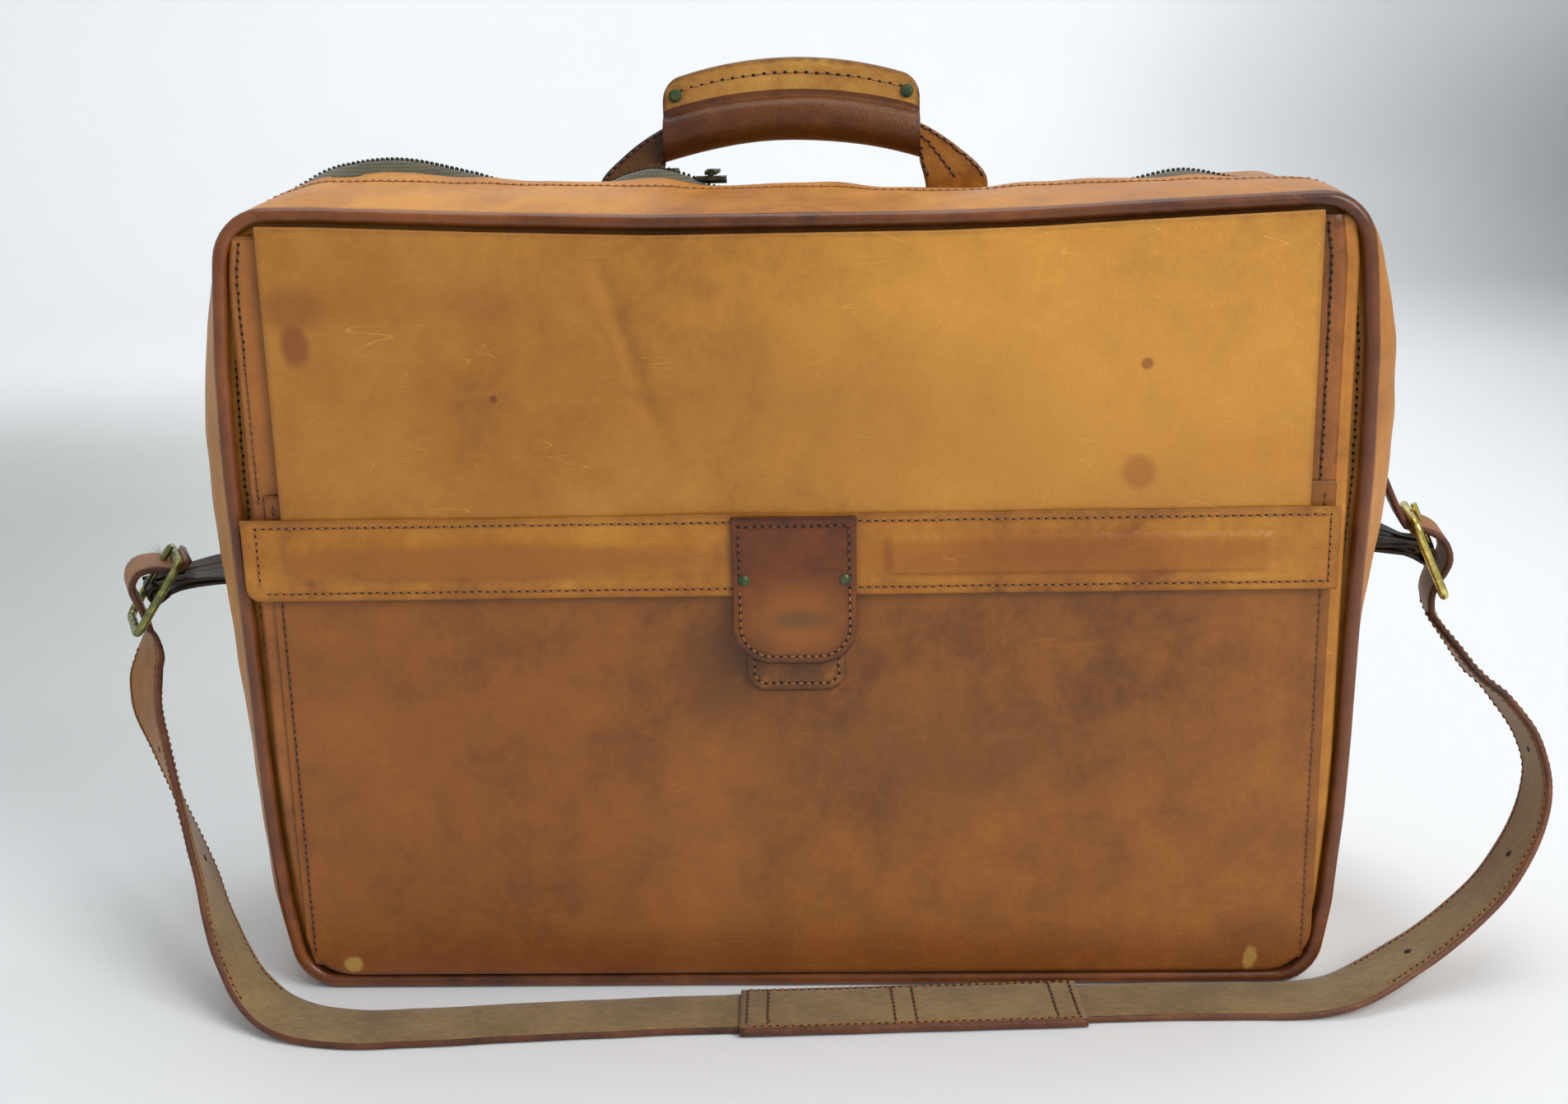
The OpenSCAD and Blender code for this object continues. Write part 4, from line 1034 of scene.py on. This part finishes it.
def rivet(name, body, at, r, height, axis, replaces):
    """Low domed rivet head with a rolled rim."""
    z = unit(axis)
    x = unit(np.cross(z, [0.3, 0.2, 0.9]))
    y = np.cross(z, x)
    rows = [(1.0, -0.3), (1.06, 0.15), (1.0, 0.5), (0.86, 0.62), (0.7, 0.86), (0.4, 0.98), (0.08, 1.0)]
    n = 20
    verts = [np.asarray(at, float) + r * k * (x * math.cos(a) + y * math.sin(a)) + z * height * h
             for k, h in rows for a in 2 * math.pi * np.arange(n) / n]
    caps = [tuple(range(n - 1, -1, -1)), tuple(range((len(rows) - 1) * n, len(rows) * n))]
    outward(put(name, verts, tube(len(rows), n) + caps, body, "old_brass", "old_brass", replaces))


for side, tag in ((-1, "left"), (1, "right")):
    rivet(f"{tag}_tab_rivet", "flap", (side * 21, -75.7, 189), 2.3, 1.4, FRONT, ["closure_rivets"])


# ---------------------------------------------------------------- straps
def section(w, t):
    """Ring of a strap's section (across, out), each point's distance to the edge, and the kind of
    face that follows it: 0 grain, 1 flesh, 2 cut edge."""
    b, h = t / 2, w / 2
    right = [(h - 0.8 * b + 0.8 * b * math.cos(a), b * math.sin(a))
             for a in np.radians([-90, -50, -15, 15, 50, 90])]
    top = [(x, b) for x in np.linspace(h - b, b - h, 7)[1:-1]]
    ring_pts = np.array(right + top + [(-x, -y) for x, y in right] + [(-x, -y) for x, y in top])
    return ring_pts, h - np.abs(ring_pts[:, 0]), [2] * 5 + [1] * 6 + [2] * 5 + [0] * 6


def strap_frames(run, pitch=2.5):
    """Centres, width directions and flesh-side directions along points (x, y, z, turn)."""
    p = smooth_path(run, pitch)
    d = unit(np.gradient(p[:, :3], axis=0))
    turn = np.radians(p[:, 3])
    w0 = np.stack([-np.sin(turn), np.cos(turn), 0 * turn], 1)
    wd = unit(w0 - d * (w0 * d).sum(1, keepdims=True))
    return p[:, :3], wd, np.cross(d, wd)


def strap_mesh(frames, w, t, seed):
    """Closed strap along frames: verts, faces, edge distances and face kinds."""
    c, wd, nd = frames
    pts, edge, kinds = section(w, t)
    n, m = len(c), len(pts)
    ragged = wobble(np.arange(n) * 2.5, seed, 60, 0.25)
    P = np.array([c[i] + wd[i] * ragged[i] + pts[:, :1] * wd[i] + pts[:, 1:] * nd[i] for i in range(n)])
    caps = [tuple(range(m - 1, -1, -1)), tuple(range((n - 1) * m, n * m))]
    return P.reshape(-1, 3), tube(n, m) + caps, np.tile(edge, n), kinds * (n - 1) + [2, 2]


def weave(points, side):
    """A buckle's weave, in the case's frame, as points (x, y, z, turn)."""
    tilt, turn, s = math.radians(side["tilt"]), math.radians(side["turn"]), side["s"]
    out = []
    for u, n in points:
        h = s * (u * math.sin(tilt) + n * math.cos(tilt))
        out.append((side["centre"][0] + h * math.cos(turn), side["centre"][1] + h * math.sin(turn),
                    side["centre"][2] - u * math.cos(tilt) + n * math.sin(tilt), side["turn"]))
    return out


route = weave(LEFT_WEAVE, LEFT) + LEFT_RUN + PAD_RUN[1:-1] + RIGHT_RUN + weave(RIGHT_WEAVE, RIGHT)[::-1]
strap_at = strap_frames(route)
centre, strap_wide, strap_out = strap_at
pad_at = strap_frames(PAD_RUN, 3)


def strap_piece(name, frames, w, t, seed, replaces):
    v, f, e, k = strap_mesh(frames, w, t, seed)
    return outward(put(name, v, f, "shoulder_strap", ["strap", "flesh", "rim"], "strap_leather", replaces, e,
                       picks=k))


strap = strap_piece("shoulder_strap_leather", strap_at, STRAP_W, STRAP_T, 61, ["strap_left", "strap_right"])
pad = strap_piece("strap_pad_leather", pad_at, PAD_W, PAD_T, 62, ["strap_pad"])


def along_strap(frames, across, face, thick, keep):
    """Stitch row on a strap's face, across mm from its middle, over the points that keep picks."""
    c, wd, nd = frames
    sew("shoulder_strap", (c + wd * across + nd * (face * thick / 2))[keep], (nd * face)[keep])


rising = (centre[:, 0] > 235) & (centre[:, 2] > 7) & (centre[:, 2] < 150)
falling = (centre[:, 0] < -225) & (centre[:, 2] > 9) & (centre[:, 2] < 140)
for across in (-12.2, 12.2):
    for face in (1, -1):
        along_strap(strap_at, across, face, STRAP_T, rising)
        along_strap(strap_at, across, face, STRAP_T, falling)
    along_strap(pad_at, across * 1.27, 1, PAD_T, slice(1, -1))


def splice(index):
    """Two rows of stitches across the pad, either side of a joint."""
    c, wd, nd = pad_at
    for shift in (0, 3):
        i = min(index + shift, len(c) - 1)
        sew("shoulder_strap", [c[i] + wd[i] * u + nd[i] * PAD_T / 2 for u in np.linspace(-15, 15, 9)],
            nd[i], material="thread_dark")


for index in (1, len(pad_at[0]) * 45 // 100, len(pad_at[0]) - 5):
    splice(index)


def strap_hole(z, away):
    """Punched hole where the strap passes the height z, a dark disc on each face as painted shade inside the
    hole; away marks the points left out.
    """
    i = int(np.argmin(np.abs(centre[:, 2] - z) + 1000 * away + 1000 * (centre[:, 2] > 120)))
    for face in (1, -1):
        basis = np.stack([strap_wide[i], np.cross(strap_out[i], strap_wide[i]), strap_out[i] * face])
        spot = centre[i] + strap_out[i] * face * STRAP_T / 2
        SEWN.setdefault(("shoulder_strap", "hole"), []).append(
            (DOT[0] * [1.8, 1.8, 0.3] @ basis + spot, DOT[1]))


for z in (14, 50, 93):
    strap_hole(z, centre[:, 0] < 200)
for z in (56, 97):
    strap_hole(z, centre[:, 0] > -200)


# ---------------------------------------------------------------- side tabs
def side_tab(tag, side):
    """Doubled leather loop from the patch on the case round the buckle's centre bar."""
    s, (cx, cy, cz), turn = side["s"], side["centre"], side["turn"]
    root_y, twist = 18.0, 32
    root = np.array([shaped([s * HALF_W, side["root_z"]], root_y)[0] + s * 4.6, side["root_z"]])
    bar = np.array([cx, cz], float)
    reach = np.linalg.norm(bar - root)
    along = (bar - root) / reach
    across = np.array([-along[1], along[0]])
    heading = math.atan2(along[1], along[0])
    half = bar - 9 * along
    wrap = [bar + 3.4 * np.array([math.cos(a), math.sin(a)])
            for a in (heading + math.radians(30 * k - 90) for k in range(7))]
    loop = [root - across * 1.0 - along * 3.5, root - across * 1.0, half - across * 1.9] + wrap \
        + [half + across * 1.9, root + across * 1.0, root + across * 1.0 - along * 3.5]
    run = []
    for q in loop:
        share = min(1.0, float(np.linalg.norm(q - root)) / reach) if (q - root) @ along > 0 else 0.0
        a = math.radians(turn * share)
        run.append((bar[0] + (q[0] - bar[0]) * math.cos(a),
                    cy + (q[0] - bar[0]) * math.sin(a) + (root_y - cy) * (1 - share), q[1], turn * share))
    c, wd, nd = strap_frames(run, 1.6)
    parts = [strap_mesh((c + wd * e * 7.2, wd, nd), 9.6, 1.9, 70 + e) for e in (-1, 1)]
    free = np.abs(c[:, 0] - cx) > 13
    for leaf in (slice(0, int(np.argmin(free))), slice(len(free) - int(np.argmin(free[::-1])), None)):
        parts.append(strap_mesh((c[leaf], wd[leaf], nd[leaf]), 6.4, 1.6, 74))
    v, f = merged([part[:2] for part in parts])
    turned = math.radians(turn)
    axis = np.array([along[0] * math.cos(turned), along[0] * math.sin(turned), along[1]])
    start = np.array([bar[0], cy, bar[1]]) - axis * reach
    share = 1 - np.clip((v - start) @ axis / (reach - 10), 0, 1)
    angle = np.radians(twist * s * share)[:, None]
    on_axis = start + ((v - start) @ axis)[:, None] * axis
    off = v - on_axis
    v = on_axis + off * np.cos(angle) + np.cross(axis, off) * np.sin(angle)
    # The dark leather is partly painted shade of the side where the tab hangs
    made = outward(put(f"{tag}_side_tab_leather", v, f, "rear_shell", "dark", "dark_leather",
                       [f"{tag}_side_tab"], np.concatenate([part[2] for part in parts]), ride=False))
    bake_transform(made)


def patch(tag, side):
    """Stitched and riveted leather patch that holds the side tab."""
    s, z0 = side["s"], side["root_z"]
    zs = z0 + s * np.array([-19, -18.6, -17, -12, -6, 0, 6, 12, 17, 18.6, 19])
    ys = np.array([4, 4.4, 6, 10, 14, 18, 22, 26, 30, 31.6, 32])

    def skin(y, z, lift):
        at = shaped([s * HALF_W, z], y)
        return [at[0] + s * lift, at[1], at[2]]
    P = np.array([[skin(y, z, 2.0) for y in ys] for z in zs])
    flip = normals(P)[5, 5, 0] * s < 0
    v, f, e, m = shell(P, 1.8, flip=flip)
    # The patch shares the dark leather, partly painted shade of the case's side
    outward(put(f"{tag}_tab_patch_leather", v, f, "rear_shell", "dark", "case_leather",
                [f"{tag}_tab_patch"], e, m))
    for y in (6.6, 29.4):
        sew("rear_shell", [skin(y, z0 + d, 2.0) for d in np.linspace(-16, 16, 9)], (s, 0, 0))
    for level, d in (("low", -14.5), ("high", 14.5)):
        rivet(f"{tag}_patch_rivet_{level}", "rear_shell", skin(18, z0 + d, 1.9), 3.1, 1.3, (s, 0, 0),
              ["tab_patch_rivets"])


for tag, side in (("left", LEFT), ("right", RIGHT)):
    side_tab(tag, side)
    patch(tag, side)


# ---------------------------------------------------------------- carry handle
def grip_height(x, r):
    """Height of the grip's arch, r mm outside its centre line, with upright ends."""
    return GRIP_Z - GRIP_ARC + np.sqrt((GRIP_ARC + r) ** 2 - np.asarray(x, float) ** 2)


def grip():
    """Roll and stitched fin as one wrap, with rounded upper corners."""
    half, thick, fin_foot, corner_r = GRIP_L / 2, 2.6, 10.6, 7
    join = math.degrees(math.asin(thick / GRIP_R))
    around_roll = [(GRIP_R * math.sin(a), GRIP_R * math.cos(a))
                   for a in np.radians(np.linspace(join, 360 - join, 33))]
    up = [(thick, r) for r in (22.0, 20.5, 18.6, 17, 15.8, 14.6, 13.2, 11.8, fin_foot)]
    crest = [(-thick, 22.0), (-2.1, 22.6), (-1.3, FIN_H), (-0.5, 22.6), (0, 22.0), (0.5, 22.6), (1.3, FIN_H),
             (2.1, 22.6)]
    ring_pts = up + around_roll + [(-y, r) for y, r in up[::-1][:-1]] + crest
    dense = np.array([0.4, 1, 2, 3, 4.5, 6])
    xs = np.unique(np.concatenate([np.linspace(-half, half, 60), half - dense, dense - half]))
    rows, edges = [], []
    for x in xs:
        corner = max(0.0, abs(x) - (half - corner_r))
        drop = corner_r - math.sqrt(max(0.0, corner_r ** 2 - corner * corner))
        plump = 1 - 0.035 * (x / half) ** 4 + 0.012 * math.sin(x / 9)
        row, near = [], []
        for y, r in ring_pts:
            if r > GRIP_R:
                r_here = fin_foot + (r - fin_foot) * (1 - drop / 12.2) * (1.04 + 0.18 * (1 - (x / half) ** 2))
                pinch = 0.2 * math.copysign(bell((r - 17) / 1.2), y) * (y != 0)
                y_here = y * (1 + 0.05 * math.sin(x / 13 + r)) - pinch
            else:
                r_here, y_here = r * plump, y * plump
            row.append((x, HANDLE_Y + y_here, grip_height(x, r_here)))
            near.append(min(FIN_H - r if r > GRIP_R else 14.0, half - abs(x)))
        rows.append(row)
        edges.append(near)
    n, m = len(xs), len(ring_pts)
    roll_side = [0 if max(ring_pts[k][1], ring_pts[(k + 1) % m][1]) > 12.5 else 1 for k in range(m)]
    faces = tube(n, m) + [tuple(range(m)), tuple(range((n - 1) * m, n * m))]
    made = put("grip_leather", np.array(rows).reshape(-1, 3), faces, "handle", ["handle", "roll"],
               "handle_leather", ["grip_wrap"], np.array(edges).ravel(), picks=roll_side * (n - 1) + [1, 1])
    outward(made)
    for face in (-1, 1):
        xs = np.linspace(4 - half, half - 4, 70)
        r = 19.0 - 1.6 * (np.abs(xs) / half) ** 2
        sew("handle", np.stack([xs, np.full(70, HANDLE_Y + face * 2.5), grip_height(xs, r)], 1), (0, face, 0),
            pitch=4.6, material="thread_tan", width=0.32)
        for s in (-1, 1):
            x = s * (half - 5.6)
            rivet(f"grip_rivet_{'front' if face < 0 else 'back'}_{'left' if s < 0 else 'right'}", "handle",
                  (x, HANDLE_Y + face * 2.7, grip_height(x, 16.4)), 2.7, 1.3, (0, face, 0), ["grip_rivets"])


grip()


def handle_strap(tag, s):
    """Two stitched layers from inside the grip down through the top of the case."""
    inner = np.array([(46, 361), (50, 360), (55.5, 358.4), (57, 352), (59.5, 342), (59.5, 331.2)], float)
    outer = np.array([(46, 370), (52, 369), (59, 366.6), (72, 358), (84, 346), (84, 331.2)], float)
    share = np.array([0, 0.03, 0.1, 0.2, 0.35, 0.5, 0.65, 0.8, 0.9, 0.97, 1.0])
    a, b = (columns_at(np.linspace(0, 1, 40), np.linspace(0, 1, len(p)), p)
            for p in (resample(smooth_path(line, 1.0), 1.0) for line in (inner, outer)))
    parts, rows = [], {}
    for layer, (y0, y1) in enumerate(((HANDLE_Y - 2.5, HANDLE_Y - 0.2), (HANDLE_Y + 2.5, HANDLE_Y + 0.2))):
        flat = a[:, None] + (b - a)[:, None] * share[None, :, None]
        bend = -0.5 * bell((flat[..., 1] - 352) / 9) * (1 if layer == 0 else 0.6)
        P = np.stack([s * flat[..., 0], y0 + bend + 0.25 * np.sin(flat[..., 1] / 3.1), flat[..., 1]], axis=2)
        flip = normals(P)[20, 5, 1] * (y0 - y1) < 0
        parts.append(shell(P, 2.2, flip=flip))
        rows[layer] = P
    v, f = merged([part[:2] for part in parts])
    # The left strap takes the darker leather as painted shade on its underside
    made = outward(put(f"{tag}_handle_strap_leather", v, f, "handle", "grip_end" if s < 0 else "band",
                       "handle_leather", [f"{tag}_handle_strap", f"{tag}_strap_root"],
                       np.concatenate([part[2] for part in parts]), ride=False))
    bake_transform(made)
    for layer, face in ((0, -1), (1, 1)):
        for column in (1, 5, 9) if s > 0 else (1, 9):
            line = rows[layer][:, column]
            sew("handle", line[line[:, 2] > 346], (0, face, 0), pitch=3.6, material="thread_dark")


handle_strap("left", -1)
handle_strap("right", 1)


# ---------------------------------------------------------------- loose thread at the left buckle
def fray():
    """Loose ends of thread standing beside the buckle."""
    rng = np.random.default_rng(8)
    parts = []
    for _ in range(14):
        lean, swing = rng.uniform(-0.9, 0.3), rng.uniform(-0.6, 0.6)
        length = rng.uniform(5, 10)
        line = [np.array([-298 + lean * t * length - 1.2 * t * t, 15 + swing * t * length,
                          176.5 + t * length * 0.9]) for t in np.linspace(0, 1, 7)]
        rings = []
        for i, q in enumerate(line):
            r = 0.16 * (1 - 0.1 * i)
            rings += [q + (r * math.cos(a), r * math.sin(a), 0) for a in (0, 2.1, 4.2)]
        parts.append((rings, tube(7, 3) + [(2, 1, 0), (18, 19, 20)]))
    return outward(put("frayed_thread", *merged(parts), "shoulder_strap", "fray", "strap_leather"))


loose = fray()
sewn_pieces()
on_strap = [pad, loose]
on_strap += [bpy.data.objects[n] for n in bpy.data.objects.keys() if n.endswith("_shoulder_strap")]
on_strap += [frame["nodes"][n] for n in ("left_buckle", "right_buckle", "left_prong", "right_prong")]

# ---------------------------------------------------------------- CAD nodes that stay
KEEP = {"back_board": "board", "bottom_board": "board", "front_board": "board", "handle_plate": "board",
        "rear_lining": "lining", "front_lining": "lining", "grip_core": "padding", "snap_stud": "old_brass",
        "snap_socket": "old_brass", "left_slider": "zip_metal", "right_slider": "zip_metal",
        "left_pull": "zip_metal", "right_pull": "zip_metal", "left_buckle": "green_brass",
        "right_buckle": "brass", "left_prong": "green_brass", "right_prong": "brass"}
for node, material in KEEP.items():
    held = frame["nodes"][node]
    held.data.materials.clear()
    held.data.materials.append(M[material])



# ---------------------------------------------------------------- floor and light
def backdrop():
    """Round paper sweep: flat floor, wide curve, upright wall, all in one surface."""
    flat_r, curve_r, count = 2.6, 1.6, 96
    bend = np.radians(np.linspace(6, 90, 15))
    radii = np.concatenate([np.linspace(0.05, flat_r, 14), flat_r + curve_r * np.sin(bend), np.full(4, 4.2)])
    heights = np.concatenate([np.zeros(14), curve_r - curve_r * np.cos(bend), np.linspace(2.2, 4.5, 4)])
    a = 2 * math.pi * np.arange(count) / count
    verts = [(0, 0, 0)] + [(r * math.cos(t), r * math.sin(t), z) for r, z in zip(radii, heights) for t in a]
    faces = [(0, 1 + k, 1 + (k + 1) % count) for k in range(count)]
    faces += [(1 + i * count + k, 1 + (i + 1) * count + k, 1 + (i + 1) * count + (k + 1) % count,
               1 + i * count + (k + 1) % count) for i in range(len(radii) - 1) for k in range(count)]
    data = bpy.data.meshes.new("floor")
    data.from_pydata(verts, [], faces)
    data.polygons.foreach_set("use_smooth", [True] * len(faces))
    made = bpy.data.objects.new("floor", data)
    bpy.context.scene.collection.objects.link(made)
    g = Graph("paper")
    shade = g.mix(g.noise(0.8, 3), rgb(226, 229, 231), rgb(236, 239, 241))
    # Painted shade: the sweep darkens towards the back right
    shade = g.mix(g.math("MULTIPLY", g.spot((2000, 2600, 0), (1000, 2600, 900), **HAZE), 0.9), shade,
                  rgb(88, 90, 90))
    # Painted shade: a darker patch on the floor behind the bag at the left
    shade = g.mix(g.math("MULTIPLY", g.spot((-950, 650, 0), (620, 700, 400), **HAZE), 0.75), shade,
                  rgb(150, 157, 150))
    g.set("Base Color", shade)
    g.set("Roughness", g.math("MULTIPLY_ADD", g.noise(30, 3), 0.1, 0.6))
    data.materials.append(g.material)


backdrop()
world = bpy.data.worlds.new("studio")
bpy.context.scene.world = world
world.use_nodes = True
world.node_tree.nodes["Background"].inputs["Color"].default_value = rgb(226, 230, 232)
world.node_tree.nodes["Background"].inputs["Strength"].default_value = 0.45
bpy.context.scene.view_settings.view_transform = "Standard"


def softbox(name, at, towards, size, power, tint=(1, 1, 1)):
    """Area light of size metres at one point, facing another."""
    lamp = bpy.data.lights.new(name, "AREA")
    lamp.shape, lamp.size, lamp.size_y = "RECTANGLE", size[0], size[1]
    lamp.energy, lamp.color = power, tint
    made = bpy.data.objects.new(name, lamp)
    bpy.context.scene.collection.objects.link(made)
    made.location = at
    made.rotation_mode = "QUATERNION"
    made.rotation_quaternion = (Vector(towards) - Vector(at)).to_track_quat("-Z", "Y")


softbox("key", (1.5, -1.3, 1.5), (0, 0, 0.15), (1.2, 1.2), 35, (1, 0.985, 0.96))
softbox("fill", (-1.5, -1.7, 1.3), (0, 0, 0.2), (1.4, 1.4), 3)
softbox("top", (0.1, 0.4, 2.4), (0, 0.1, 0), (2.2, 1.8), 29)
softbox("wall", (0.1, 1.6, 2.8), (0.1, 4.2, 1.3), (2.0, 0.8), 55)
